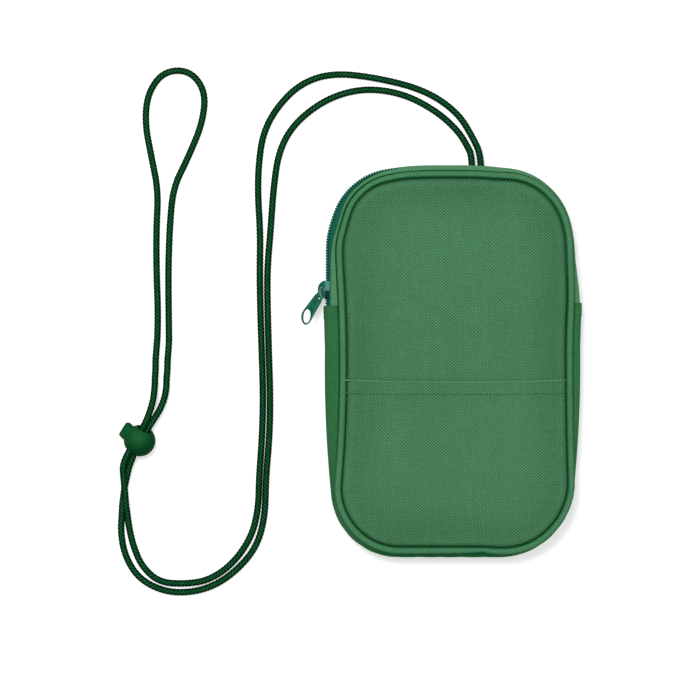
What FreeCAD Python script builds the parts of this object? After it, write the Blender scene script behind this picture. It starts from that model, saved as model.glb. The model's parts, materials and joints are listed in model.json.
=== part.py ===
import FreeCAD, Part
import math
import os

# Crossbody travel pouch: a zipped fabric pouch on a long cord with a ball lock.
# It lies on its back with its front up (+Z) and its top edge towards +Y.
# The origin is on the flat back face, under the middle of the pouch. Millimetres.

V = FreeCAD.Vector
UP = V(0, 0, 1)
os.makedirs("parts", exist_ok=True)

# Fabric and the seam line that the piping follows
fabric = 0.8
layer_gap = 0.3
seam_half_width = 56.55
seam_half_height = 91.5
seam_corner_radii = (33.5, 35.0, 30.0, 33.0)
front_waist_dips = (2.55, 1.0)
back_waist_dips = (2.0, 2.0)
piping_radius = 2.0
piping_clearance = 0.1
ground_clearance = 0.3
piping_sides = 14
corner_steps = 9
side_shares = (0.25, 0.5, 0.75)
pouch_depth = 18.8
front_lean = 0.95
back_lean = -0.8

# Front and back panels
front_crown = 1.8
panel_edge_rise = 0.5
crown_inset_shares = (0.0, 0.12, 0.40)
crown_rise_shares = (0.0, 0.66, 1.0)
back_edge_inset = 5.0
back_edge_lift = 1.2

# Front pocket
pocket_top_y = -9.2
pocket_top_sag = 1.0
hem_height = 6.3
hem_fabric = 0.6

# Base gusset, which wraps the lower half
gusset_side_bulge = 5.45
gusset_end_bulge = 3.7
gusset_belly = 3.0
gusset_corner_radii = (40.0, 40.0, 33.0, 36.5)
gusset_band = 10.0
gusset_left_top_y = 24.3
gusset_right_top_y = 28.1
gusset_fold = 5.0
gusset_fold_fabric = 0.25

# Zip: two fabric strips, two tapes and a nylon coil
zip_below_front_seam = 8.4
zip_lean = -0.8
zip_side_outset = 2.65
zip_end_outset = 1.7
zip_corner_radii = (36.2, 39.0, 37.0, 37.0)
slot_half_width = 4.6
strip_side_outset = 3.05
strip_end_outset = 3.7
front_strip_corner_radii = (42.5, 41.0, 37.5, 37.5)
back_strip_corner_radii = (39.5, 39.5, 37.5, 37.5)
front_strip_lean = 0.4
back_strip_lean = -1.2
strip_seam_outset = 1.4
seam_tuck = 0.05
tape_thickness = 0.5
tape_flat_half_width = 3.8
tape_gap = 0.5
tape_tuck = 1.0
tape_end_tuck = 6.0
chain_half_gap = 0.45
coil_thickness = 1.6
coil_half_width = 2.2
stop_length = 2.2
stop_proud = 0.15

# Seam binding inside the pouch
binding_width = 4.0
binding_height = 1.8

# Slider, closed at the left end of the zip
slider_y = 34.4
slider_length = 8.8
slider_half_width = 3.5
slider_tail_half_width = 3.0
slider_shoulder_share = 0.45
plate_thickness = 1.2
slider_coil_clearance = 0.15
slider_tape_clearance = 0.2
flange_tape_clearance = 0.25
neck_half_thickness = 0.28
neck_length = 2.2
bridge_length = 5.0
bridge_offset = -1.7
bridge_half_width = 1.0
bridge_thickness = 0.9
bridge_window = 1.5
bridge_foot = 0.8
bridge_corner = 1.2
slider_nose_cut = 0.9
plate_edge = 0.5

# Puller: an eye under the bridge, a twisted neck and a flat blade
eye_bar_radius = 0.5
eye_rail_clearance = 0.3
eye_rail_width = 0.9
eye_rail_thickness = 1.0
eye_length = 3.0
eye_head = 0.7
neck_twist_length = 1.4
blade_twist = 57.0
blade_top_width = 5.0
blade_end_width = 6.4
blade_thickness = 1.0
puller_reach = 17.6
puller_rest_angle = 239.3
puller_hole_width = 3.6
puller_hole_length = 6.6
puller_hole_edge = 2.4
twist_steps = 3

# Cord and its entry holes
cord_diameter = 3.0
cord_hole_clearance = 0.2
cord_sides = 8
cord_turn_step = 28.0
arc_run_share = 0.45
cord_entry_x = (9.7, 14.1)
cord_entry_z = 6.15
cord_end_inset = 4.0
cord_straight_out = 7.9
cord_leave_z = 5.8
tack_margin = 1.2
tack_length = 2.8
tack_thickness = 0.6

# Ball lock on the cord
lock_x = -151.9
lock_y = -38.7
lock_radius = 7.7
lock_cord_angle = 58.0
strand_spacing = 3.3
strand_clearance = 0.2
lock_straight_below = 17.0
lock_straight_above = 21.5
strand_shift = 0.8
plunger_radius = 4.0
plunger_clearance = 0.08
plunger_reach = 9.4
plunger_travel = 1.5
plunger_inner_wall = 0.7
plunger_bore_depth = 6.0
plunger_edge = 0.8
spring_wire = 0.4
spring_turns = 2.5
spring_radius = 3.0
spring_end_gap = 0.1
spring_sides = 6
spring_steps = 12
ball_sides = 32
ball_bands = 12
ball_cap_share = 0.96
overrun = 5.0
facet_size = 0.2

# The cord's route in plan, and its height above where it lies, point by point
outer_strand_points = [
    (10.7, 107.7, 0.7), (2.7, 121.2, 0), (-13.8, 132.2, 0), (-38.1, 138.2, 0),
    (-58.4, 140.2, 0), (-73.5, 135.3, 0), (-84.9, 124.2, 0), (-92.1, 111.1, 0),
    (-94.3, 95.1, 0), (-94.6, 80.5, 0), (-93.4, 62.6, 0), (-93.7, 43.2, 0),
    (-93.4, 24.7, 0), (-92.7, 4.4, 0), (-92.0, -17.9, 0), (-92.6, -38.3, 0),
    (-94.0, -56.7, 0), (-94.3, -71.3, 0), (-97.5, -85.4, 0), (-106.5, -98.5, 0),
    (-118.1, -106.7, 0), (-130.2, -108.6, 0), (-142.8, -107.7, 0), (-151.1, -99.9, 0),
    (-155.2, -90.2, 0), (-157.4, -80.5, 0.7), (-158.4, -70.8, 3.7)]
end_loop_points = [
    (-144.1, -0.5, 0), (-143.1, 20.9, 0), (-144.0, 45.1, 0), (-144.0, 64.5, 0),
    (-143.1, 82.9, 0), (-146.5, 99.9, 0), (-149.6, 115.9, 0), (-148.2, 130.5, 0),
    (-140.4, 141.1, 0), (-127.8, 141.6, 0), (-120.0, 131.4, 0), (-121.5, 115.9, 0),
    (-128.8, 98.5, 0), (-135.8, 84.4, 0), (-137.5, 66.0, 0), (-138.2, 44.1, 0),
    (-138.0, 22.3, 0), (-137.7, 0.5, 0)]
inner_strand_points = [
    (-160.5, -71.8, 0.5), (-161.5, -83.4, 0), (-159.1, -95.5, 0), (-152.5, -106.0, 0),
    (-140.4, -112.3, 0), (-127.3, -112.8, 0), (-114.7, -109.1, 0), (-103.1, -100.4, 0),
    (-94.6, -89.2, 0), (-91.0, -74.7, 0), (-90.7, -56.7, 0), (-89.0, -38.3, 0),
    (-88.5, -18.9, 0), (-89.3, 5.3, 0), (-89.9, 27.2, 0), (-90.0, 45.1, 0),
    (-88.3, 64.5, 0), (-87.1, 82.9, 0), (-84.6, 101.4, 0), (-77.8, 114.5, 0),
    (-65.2, 125.1, 0), (-52.1, 130.9, 0), (-38.1, 132.6, 0), (-22.1, 129.5, 0),
    (-7.0, 121.2, 0), (2.9, 112.0, 0), (7.3, 104.8, 0.7)]

# Levels worked out from the sizes above
back_seam_z = piping_radius + ground_clearance
front_seam_z = back_seam_z + pouch_depth
zip_z = front_seam_z - zip_below_front_seam
middle_z = (back_seam_z + front_seam_z) / 2
cord_radius = cord_diameter / 2
cord_end_y = seam_half_height - cord_end_inset
cord_leave_y = seam_half_height + cord_straight_out
gusset_half_width = seam_half_width + gusset_side_bulge
gusset_half_height = seam_half_height + gusset_end_bulge
zip_half_width = seam_half_width + zip_side_outset
zip_half_height = seam_half_height + zip_end_outset
strip_half_width = seam_half_width + strip_side_outset
strip_half_height = seam_half_height + strip_end_outset

def shape_of(half_width, half_height, radii, dips, lean):
    """Gather the sizes of one closed outline; its left and right sides dip in, or belly out below zero."""
    return {"half_width": half_width, "half_height": half_height,
            "radii": radii, "dips": dips, "lean": lean}


def between(first, second, share):
    """An outline part of the way from the first to the second."""
    mixed = {}
    for key in ("half_width", "half_height", "lean"):
        mixed[key] = first[key] + (second[key] - first[key]) * share
    for key in ("radii", "dips"):
        pairs = zip(first[key], second[key])
        mixed[key] = tuple(a + (b - a) * share for a, b in pairs)
    return mixed


STRAIGHT = (0, 0)
BELLIED = (-gusset_belly, -gusset_belly)
SEAM_FRONT = shape_of(seam_half_width, seam_half_height, seam_corner_radii, front_waist_dips, front_lean)
SEAM_BACK = shape_of(seam_half_width, seam_half_height, seam_corner_radii, back_waist_dips, back_lean)
GUSSET = shape_of(gusset_half_width - gusset_belly, gusset_half_height, gusset_corner_radii, BELLIED, 0)
ZIP = shape_of(zip_half_width, zip_half_height, zip_corner_radii, STRAIGHT, zip_lean)
STRIP_FRONT = shape_of(strip_half_width, strip_half_height, front_strip_corner_radii, STRAIGHT, front_strip_lean)
STRIP_BACK = shape_of(strip_half_width, strip_half_height, back_strip_corner_radii, STRAIGHT, back_strip_lean)


def side(shape, inset, sign):
    """The curve of one long side: its centre and radius, or None where it is straight."""
    left, right = shape["dips"]
    dip = right if sign > 0 else left
    if dip == 0:
        return None
    upper, lower = corner_radii(shape, sign)
    mean = (upper + lower) / 2
    half_run = shape["half_height"] - mean
    radius = (half_run * half_run / dip + dip) / 2 - mean
    x = sign * (shape["half_width"] - dip + radius) + shape["lean"]
    return V(x, (lower - upper) / 2, 0), radius + inset


def corner_radii(shape, sign):
    """The upper and lower corner radii on one side."""
    top_left, top_right, low_left, low_right = shape["radii"]
    return (top_right, low_right) if sign > 0 else (top_left, low_left)


def corner(shape, inset, sign, end):
    """One corner's arc: where it meets the side, its middle, and where it meets the end."""
    upper, lower = corner_radii(shape, sign)
    radius = upper if end > 0 else lower
    y = end * (shape["half_height"] - radius)
    curve = side(shape, 0, sign)
    if curve is None:
        x = sign * (shape["half_width"] - radius) + shape["lean"]
        start = 0
    else:
        centre, side_radius = curve
        reach = side_radius + radius
        rise = y - centre.y
        x = centre.x - sign * math.copysign(math.sqrt(reach * reach - rise * rise), reach)
        start = -math.asin(rise / reach)
    sweep = end * math.pi / 2
    half = (start + sweep) / 2
    points = []
    for angle in (start, half, sweep):
        across = sign * math.cos(angle)
        points.append(V(x, y, 0) + V(across, math.sin(angle), 0) * (radius - inset))
    return points


def faceted(sections, closed=False):
    """A solid of flat facets through lists of as many points each: a closed ring, or capped."""
    faces = []
    following = sections[1:]
    if closed:
        following = following + sections[:1]
    else:
        faces = [Part.Face(Part.makePolygon(points + points[:1])) for points in (sections[0], sections[-1])]
    for points, others in zip(sections, following):
        for place, point in enumerate(points):
            beside = (place + 1) % len(points)
            corners = (point, points[beside], others[beside], others[place])
            for third, fourth in ((1, 2), (2, 3)):
                faces.append(Part.Face(Part.makePolygon([point, corners[third], corners[fourth], point])))
    solid = Part.Solid(Part.Shell(faces))
    if solid.Volume < 0:
        solid = solid.reversed()
    return solid.removeSplitter()


def corner_point(shape, inset, sign, end, share):
    """A point on a corner, from where it meets the side (0) to where it meets the end (1)."""
    start, middle, finish = corner(shape, inset, sign, end)
    arc = Part.Arc(start, middle, finish)
    return arc.value(arc.FirstParameter + share * (arc.LastParameter - arc.FirstParameter))


def side_point(shape, inset, sign, share):
    """A point on a long side, from its upper corner (0) to its lower corner (1)."""
    upper = corner(shape, inset, sign, 1)[0]
    lower = corner(shape, inset, sign, -1)[0]
    point = upper + (lower - upper) * share
    curve = side(shape, inset, sign)
    if curve is None:
        return point
    centre, radius = curve
    rise = point.y - centre.y
    return V(centre.x - sign * math.copysign(math.sqrt(radius * radius - rise * rise), radius), point.y, 0)


def half_round(sign, side_shares):
    """Stations down one side of the pouch: the upper corner, the side, the lower corner."""
    corner_shares = [step / corner_steps for step in range(corner_steps + 1)]
    stations = [("corner", sign, 1, share) for share in reversed(corner_shares)]
    stations += [("side", sign, 0, share) for share in side_shares]
    return stations + [("corner", sign, -1, share) for share in corner_shares]


def station_point(shape, inset, station):
    """Where an outline passes one station."""
    kind, sign, end, share = station
    if kind == "side":
        return side_point(shape, inset, sign, share)
    return corner_point(shape, inset, sign, end, share)


def all_round():
    """The stations of one trip round the pouch."""
    return half_round(1, side_shares) + half_round(-1, side_shares)[::-1]


def full_ring(profile):
    """A solid round the pouch whose section is the closed profile of (shape, inset, z) corners."""
    sections = []
    for station in all_round():
        sections.append([station_point(shape, inset, station) + UP * z for shape, inset, z in profile])
    return faceted(sections, True)


def polygon_loft(levels):
    """A solid through many-sided outlines, given as (shape, inset, z) levels."""
    sections = []
    for shape, inset, z in levels:
        sections.append([station_point(shape, inset, station) + UP * z for station in all_round()])
    return faceted(sections)


def sheet_profile(outer, thickness):
    """The closed section of a fabric wall whose outer corners are given."""
    return outer + [(shape, inset + thickness, z) for shape, inset, z in reversed(outer)]


def box(x0, x1, y0, y1, z0, z1):
    """A box between two corners."""
    return Part.makeBox(x1 - x0, y1 - y0, z1 - z0, V(x0, y0, z0))


def crown_sections(shape, base_z, lift):
    """The rising sections of the crowned front, from its edge to the flat middle."""
    edge = piping_radius + piping_clearance
    sections = []
    for inset_share, rise_share in zip(crown_inset_shares, crown_rise_shares):
        inset = edge + inset_share * (seam_half_width - edge)
        sections.append((shape, inset, base_z + rise_share * front_crown + lift))
    return sections


def crowned_sheet(shape, base_z, lift, thickness):
    """A crowned sheet of fabric whose underside follows its face."""
    top = crown_sections(shape, base_z, lift + thickness)
    under = crown_sections(shape, base_z, lift)
    edge = top[0][1]
    solid = polygon_loft([(shape, edge, under[0][2])] + top)
    void = polygon_loft([(shape, edge, under[0][2] - overrun)] + under)
    return solid.cut(void)


def front_panel():
    """The upper face of the pouch."""
    return crowned_sheet(SEAM_FRONT, front_seam_z, panel_edge_rise - fabric, fabric)


def pocket_mouth(drop, width_margin):
    """A block over everything below the pocket's slightly sagging top edge."""
    reach = seam_half_width + width_margin
    left = V(-reach, pocket_top_y - drop, 0)
    right = V(reach, pocket_top_y - drop, 0)
    middle = V(0, pocket_top_y - pocket_top_sag - drop, 0)
    low_left = V(-reach, -seam_half_height - width_margin, 0)
    low_right = V(reach, -seam_half_height - width_margin, 0)
    edges = [Part.Arc(left, middle, right).toShape(), Part.makeLine(right, low_right)]
    edges += [Part.makeLine(low_right, low_left), Part.makeLine(low_left, left)]
    face = Part.Face(Part.Wire(edges))
    return face.extrude(UP * (2 * front_seam_z))


def front_pocket():
    """The patch pocket over the lower half, with its folded hem."""
    lift = panel_edge_rise + layer_gap
    sheet = crowned_sheet(SEAM_FRONT, front_seam_z, lift, fabric)
    pocket = sheet.common(pocket_mouth(0, overrun))
    fold = crowned_sheet(SEAM_FRONT, front_seam_z, lift + fabric, hem_fabric)
    hem = fold.common(pocket_mouth(0, overrun)).cut(pocket_mouth(hem_height, 2 * overrun))
    return pocket.fuse(hem).removeSplitter()


def back_panel():
    """The flat back face, whose edge lifts to the seam."""
    edge = piping_radius + piping_clearance
    flat = edge + back_edge_inset
    under = [(SEAM_BACK, edge, back_edge_lift), (SEAM_BACK, flat, 0)]
    over = [(shape, inset, z + fabric) for shape, inset, z in under]
    sheet = polygon_loft([over[0]] + under)
    hollow = polygon_loft([(SEAM_BACK, edge, over[0][2] + overrun)] + over)
    return sheet.cut(hollow)


def ring(shape, z, radius, sides):
    """A many-sided bead along the outline."""
    profile = []
    for step in range(sides):
        angle = 2 * math.pi * (step + 0.5) / sides
        profile.append((shape, radius * math.cos(angle), z + radius * math.sin(angle)))
    return full_ring(profile)


def front_piping():
    """The covered cord in the front seam."""
    return ring(SEAM_FRONT, front_seam_z, piping_radius, piping_sides)


def back_piping():
    """The covered cord in the back seam."""
    return ring(SEAM_BACK, back_seam_z, piping_radius, piping_sides)


def seam_edge_z(seam_z, sign):
    """Where the side fabric meets the piping; sign is +1 at the front."""
    return seam_z - sign * (piping_radius - seam_tuck)


def gusset_sections(grow):
    """The bulging section of the base gusset, from the back seam to the front seam."""
    back = seam_edge_z(back_seam_z, -1)
    front = seam_edge_z(front_seam_z, 1)
    levels = [(SEAM_BACK, -strip_seam_outset, back),
              (GUSSET, 0, middle_z - gusset_band / 2),
              (GUSSET, 0, middle_z + gusset_band / 2),
              (SEAM_FRONT, -strip_seam_outset, front)]
    return [(shape, inset - grow, z) for shape, inset, z in levels]


def below_gusset_edge(drop):
    """A block that holds all of the base gusset, down from its upper edge."""
    reach = gusset_half_width + overrun
    low = -gusset_half_height - overrun
    left = box(-reach, 0, low, gusset_left_top_y - drop, -overrun, front_seam_z + overrun)
    right = box(0, reach, low, gusset_right_top_y - drop, -overrun, front_seam_z + overrun)
    return left.fuse(right)


def base_gusset():
    """The plain side wall round the lower half, with folded upper edges."""
    body = full_ring(sheet_profile(gusset_sections(0), fabric)).common(below_gusset_edge(0))
    fold = full_ring(sheet_profile(gusset_sections(gusset_fold_fabric), gusset_fold_fabric + fabric / 2))
    fold = fold.common(below_gusset_edge(0)).cut(below_gusset_edge(gusset_fold))
    return body.fuse(fold).removeSplitter()


def above_gusset_edge(drop, margin):
    """A block over the zipped upper half, down to a drop below the gusset's edge."""
    reach = gusset_half_width + overrun
    high = gusset_half_height + overrun
    low_left = gusset_left_top_y - drop + margin
    low_right = gusset_right_top_y - drop + margin
    left = box(-reach, 0, low_left, high, -overrun, front_seam_z + overrun)
    right = box(0, reach, low_right, high, -overrun, front_seam_z + overrun)
    return left.fuse(right)


def strip_levels(sign):
    """The slot edge and the seam edge of a zip strip; sign is +1 at the front."""
    strip = STRIP_FRONT if sign > 0 else STRIP_BACK
    seam = SEAM_FRONT if sign > 0 else SEAM_BACK
    seam_z = front_seam_z if sign > 0 else back_seam_z
    edge = shape_of(seam["half_width"] + strip_seam_outset, seam["half_height"] + strip_seam_outset,
                    tuple(r + strip_seam_outset for r in seam["radii"]), seam["dips"], seam["lean"])
    return (strip, zip_z + sign * slot_half_width), (edge, seam_edge_z(seam_z, sign))


def zip_strip(sign):
    """The fabric strip between a zip tape and the piping."""
    (slot, slot_z), (seam, seam_z) = strip_levels(sign)
    strip = full_ring(sheet_profile([(slot, 0, slot_z), (seam, 0, seam_z)], fabric))
    strip = strip.common(above_gusset_edge(0, piping_clearance))
    return strip.cut(cord_holes()) if sign < 0 else strip


def zip_tape(sign):
    """A woven tape: flat under the coil, then tucked behind its fabric strip."""
    (slot, slot_z), (seam, seam_z) = strip_levels(sign)
    behind = fabric + tape_gap
    tuck_share = tape_tuck / abs(seam_z - slot_z)
    tucked = between(slot, seam, tuck_share)
    sections = [(ZIP, 0, zip_z + sign * chain_half_gap),
                (ZIP, 0, zip_z + sign * tape_flat_half_width),
                (slot, behind, slot_z),
                (tucked, behind, slot_z + (seam_z - slot_z) * tuck_share)]
    tape = full_ring(sheet_profile(sections, tape_thickness))
    tape = tape.common(above_gusset_edge(tape_end_tuck, 0))
    return tape.cut(cord_holes()) if sign < 0 else tape


def coil_profile(sign, proud, half_width):
    """The section of one side of the chain, on the outer face of its tape."""
    near = zip_z + sign * chain_half_gap
    far = zip_z + sign * half_width
    return [(ZIP, 0, near), (ZIP, -proud, near), (ZIP, -proud, far), (ZIP, 0, far)]


def zip_coil(sign):
    """One side of the nylon coil, as the plain bead that its turns fill."""
    bead = full_ring(coil_profile(sign, coil_thickness, coil_half_width))
    return bead.common(above_gusset_edge(0, stop_length + 2 * piping_clearance))


def zip_end_stops():
    """Stops that clip each side of the coil at both ends of the zip."""
    stops = []
    ends = above_gusset_edge(0, piping_clearance).cut(above_gusset_edge(0, stop_length + piping_clearance))
    for sign in (-1, 1):
        bead = full_ring(coil_profile(sign, coil_thickness + stop_proud, coil_half_width + stop_proud))
        stops += bead.common(ends).Solids
    return Part.makeCompound(stops)


def cord_holes():
    """The two holes through which the cord enters the back of the top edge."""
    holes = []
    for x in cord_entry_x:
        start = V(x, cord_end_y, cord_entry_z)
        holes.append(prism(start, V(0, 1, 0), cord_radius + cord_hole_clearance, 2 * overrun))
    return holes[0].fuse(holes[1:])


def section(centre, along, up, radius):
    """The cord's many-sided section, square to its run."""
    across = along.cross(up)
    across.normalize()
    level = across.cross(along)
    level.normalize()
    corners = []
    for step in range(cord_sides + 1):
        angle = 2 * math.pi * (step + 0.5) / cord_sides
        corners.append(centre + across * (radius * math.cos(angle)) + level * (radius * math.sin(angle)))
    return Part.makePolygon(corners)


def prism(start, along, radius, length):
    """A straight piece with the cord's many sides."""
    return Part.Face(section(start, along, UP, radius)).extrude(along * length)


def seam_binding(sign):
    """The folded tape that covers the raw seam inside; sign is +1 at the front."""
    shape = SEAM_FRONT if sign > 0 else SEAM_BACK
    outer = piping_radius + piping_clearance
    if sign > 0:
        top = front_seam_z + panel_edge_rise - fabric - piping_clearance
        low = top - binding_height
    else:
        low = back_edge_lift + fabric + piping_clearance
        top = low + binding_height
    return full_ring(sheet_profile([(shape, outer, low), (shape, outer, top)], binding_width))


def lock_point(along, across, height):
    """A place in the ball lock: along the cord, across it towards the button, and up."""
    turn = math.radians(lock_cord_angle)
    cord = V(math.cos(turn), math.sin(turn), 0)
    button = V(-math.sin(turn), math.cos(turn), 0)
    return V(lock_x, lock_y, lock_radius) + cord * along + button * across + UP * height


def cord_route():
    """The cord's points: out of the pouch, round to the lock, over its end loop and back."""
    rest = cord_radius
    diagonal = strand_spacing / math.sqrt(2) / 2
    route = [V(cord_entry_x[1], cord_end_y, cord_entry_z), V(cord_entry_x[1], cord_leave_y, cord_leave_z)]
    for x, y, z in outer_strand_points:
        route.append(V(x, y, rest + z))
    route.append(lock_point(-lock_straight_below, strand_shift + diagonal, diagonal))
    route.append(lock_point(lock_straight_above, strand_shift + diagonal, diagonal))
    for x, y, z in end_loop_points:
        route.append(V(x, y, rest + z))
    route.append(lock_point(lock_straight_above, strand_shift - diagonal, -diagonal))
    route.append(lock_point(-lock_straight_below, strand_shift - diagonal, -diagonal))
    for x, y, z in inner_strand_points:
        route.append(V(x, y, rest + z))
    route.append(V(cord_entry_x[0], cord_leave_y, cord_leave_z))
    route.append(V(cord_entry_x[0], cord_end_y, cord_entry_z))
    return route


def cord_path(route):
    """Straight runs joined by tangent arcs, each as large as its two runs allow."""
    edges = []
    radii = []
    last = route[0]
    for before, point, after in zip(route, route[1:], route[2:]):
        arriving = point - before
        leaving = after - point
        turn = arriving.getAngle(leaving)
        tangent = arc_run_share * min(arriving.Length, leaving.Length)
        radius = tangent / math.tan(turn / 2)
        radii.append(radius)
        start = point - arriving.normalize() * tangent
        end = point + leaving.normalize() * tangent
        inward = (leaving - arriving).normalize()
        middle = point + inward * (radius / math.cos(turn / 2) - radius)
        edges.append(Part.makeLine(last, start))
        edges.append(Part.Arc(start, middle, end).toShape())
        last = end
    edges.append(Part.makeLine(last, route[-1]))
    print("cord radii", " ".join(f"{radius:.1f}" for radius in radii))
    return Part.Wire(edges)


def carry_cord():
    """The braided cord, one tube from end to end."""
    route = cord_route()
    path = cord_path(route)
    sections = [section(route[0], route[1] - route[0], UP, cord_radius)]
    for edge in path.OrderedEdges:
        if hasattr(edge.Curve, "Radius"):
            turn = math.degrees(edge.Length / edge.Curve.Radius)
            steps = math.ceil(turn / cord_turn_step)
            for step in range(steps + 1):
                at = edge.FirstParameter + (edge.LastParameter - edge.FirstParameter) * step / steps
                sections.append(section(edge.valueAt(at), edge.tangentAt(at), UP, cord_radius))
    sections.append(section(route[-1], route[-1] - route[-2], UP, cord_radius))
    area = Part.Face(sections[0]).Area
    tube = Part.makeLoft(sections, True, True)
    print(f"cord length {path.Length:.1f} volume {tube.Volume:.1f} of {area * path.Length:.1f}")
    return tube


# Slider faces, from the tape outwards
tape_face_x = zip_lean - zip_half_width
chain_face_x = tape_face_x - coil_thickness
outer_plate_low = chain_face_x - slider_coil_clearance
outer_plate_top = outer_plate_low - plate_thickness
inner_plate_low = tape_face_x + tape_thickness + slider_tape_clearance
pivot = V(outer_plate_top - bridge_window / 2, slider_y + bridge_offset, zip_z)


def slider_plate(x, thickness):
    """A slider plate: broad where the two chains enter, narrower at its tail."""
    half = slider_length / 2
    shoulder = slider_y - half + slider_length * slider_shoulder_share
    nose = slider_half_width - slider_nose_cut
    places = [(slider_y - half, nose), (slider_y - half + slider_nose_cut, slider_half_width),
              (shoulder, slider_half_width), (slider_y + half, slider_tail_half_width)]
    corners = [V(x, y, zip_z + half_width) for y, half_width in places]
    corners += [V(x, y, zip_z - half_width) for y, half_width in reversed(places)]
    plate = Part.Face(Part.makePolygon(corners + corners[:1])).extrude(V(thickness, 0, 0))
    return plate


def slider_body():
    """Two plates joined by a neck, with flanges that keep the chains in the channel."""
    outer = slider_plate(outer_plate_top, plate_thickness)
    rim = [edge for edge in outer.Edges
           if edge.BoundBox.XMax < outer_plate_top + plate_edge / 2]
    outer = outer.makeFillet(plate_edge, rim)
    inner = slider_plate(inner_plate_low, plate_thickness)
    channel = coil_half_width + slider_coil_clearance
    flange_low = tape_face_x - flange_tape_clearance
    reach = outer_plate_low - outer_plate_top
    skirt = slider_plate(outer_plate_low, flange_low - outer_plate_low)
    start = slider_y - slider_length / 2
    end = slider_y + slider_length / 2
    skirt = skirt.cut(box(outer_plate_low - reach, tape_face_x, start - overrun, end + overrun,
                          zip_z - channel, zip_z + channel))
    neck = box(outer_plate_low, inner_plate_low, start, start + neck_length,
               zip_z - neck_half_thickness, zip_z + neck_half_thickness)
    return outer.fuse([inner, skirt, neck]).removeSplitter()


def slider_cap():
    """The bridge over the slider that the puller's eye hangs in."""
    low = outer_plate_top
    high = low - bridge_window - bridge_thickness
    start = pivot.y - bridge_length / 2
    end = pivot.y + bridge_length / 2
    arch = box(high, low, start, end, zip_z - bridge_half_width, zip_z + bridge_half_width)
    crown = [edge for edge in arch.Edges if edge.BoundBox.XMax < high + plate_edge
             and edge.BoundBox.YLength < plate_edge]
    arch = arch.makeFillet(bridge_corner, crown)
    window = box(low - bridge_window, low, start + bridge_foot, end - bridge_foot,
                 zip_z - overrun, zip_z + overrun)
    return arch.cut(window)


def blade_section(reach, width, twist):
    """The puller's rectangular section, some way from its pivot and twisted."""
    across = V(0, math.cos(math.radians(twist)), math.sin(math.radians(twist)))
    through = V(0, -across.z, across.y)
    corners = []
    for a, b in ((1, 1), (-1, 1), (-1, -1), (1, -1)):
        corners.append(V(reach, 0, 0) + across * (a * width / 2) + through * (b * blade_thickness / 2))
    return corners


def puller_blade():
    """The flat blade, along +X with its width along Y, rounded at its end and pierced."""
    start = eye_length + eye_head + neck_twist_length
    tip = puller_reach
    round_centre = tip - blade_end_width / 2
    half_top = blade_top_width / 2
    half_end = blade_end_width / 2
    edges = [Part.makeLine(V(start, -half_top, 0), V(round_centre, -half_end, 0))]
    edges.append(Part.Arc(V(round_centre, -half_end, 0), V(tip, 0, 0),
                          V(round_centre, half_end, 0)).toShape())
    edges.append(Part.makeLine(V(round_centre, half_end, 0), V(start, half_top, 0)))
    edges.append(Part.makeLine(V(start, half_top, 0), V(start, -half_top, 0)))
    blade = Part.Face(Part.Wire(edges)).extrude(UP * blade_thickness)
    hole_radius = puller_hole_width / 2
    far = tip - puller_hole_edge - hole_radius
    near = far - puller_hole_length + puller_hole_width
    hole = Part.makeCylinder(hole_radius, blade_thickness, V(far, 0, 0))
    hole = hole.fuse(Part.makeCylinder(hole_radius, blade_thickness, V(near, 0, 0)))
    hole = hole.fuse(box(near, far, -hole_radius, hole_radius, 0, blade_thickness))
    return blade.cut(hole).translated(V(0, 0, -blade_thickness / 2))


def puller():
    """The puller: an eye round the bridge, a twisted neck and a blade."""
    eye_inner = bridge_half_width + eye_rail_clearance
    eye_outer = eye_inner + eye_rail_width
    bar = Part.makeCylinder(eye_bar_radius, 2 * eye_outer, V(0, -eye_outer, 0), V(0, 1, 0))
    half_rail = eye_rail_thickness / 2
    rails = []
    for sign in (-1, 1):
        low, high = sorted((sign * eye_inner, sign * eye_outer))
        rails.append(box(0, eye_length, low, high, -half_rail, half_rail))
    head = box(eye_length, eye_length + eye_head, -eye_outer, eye_outer, -half_rail, half_rail)
    start = eye_length + eye_head
    twisted = []
    for step in range(twist_steps + 1):
        share = step / twist_steps
        width = 2 * eye_outer + (blade_top_width - 2 * eye_outer) * share
        twisted.append(blade_section(start + neck_twist_length * share, width, blade_twist * share))
    neck = faceted(twisted)
    blade = puller_blade()
    blade.rotate(V(0, 0, 0), V(1, 0, 0), blade_twist)
    shape = bar.fuse(rails + [head, neck, blade]).removeSplitter()
    along = V(math.cos(math.radians(puller_rest_angle)), math.sin(math.radians(puller_rest_angle)), 0)
    shape.Placement = FreeCAD.Placement(pivot, FreeCAD.Rotation(along, UP, along.cross(UP), "XYZ"))
    return shape


def across_lock(shape):
    """Turn a lock piece made along +X, with the cord along -Y, to the button's direction."""
    turn = FreeCAD.Rotation(UP, lock_cord_angle + 90)
    shape.Placement = FreeCAD.Placement(V(lock_x, lock_y, lock_radius), turn)
    return shape


def strand_slot(low, high, half_height, half_run):
    """A rectangular passage for the two strands, across the lock."""
    return box(low, high, -half_run, half_run, -half_height, half_height)


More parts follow.
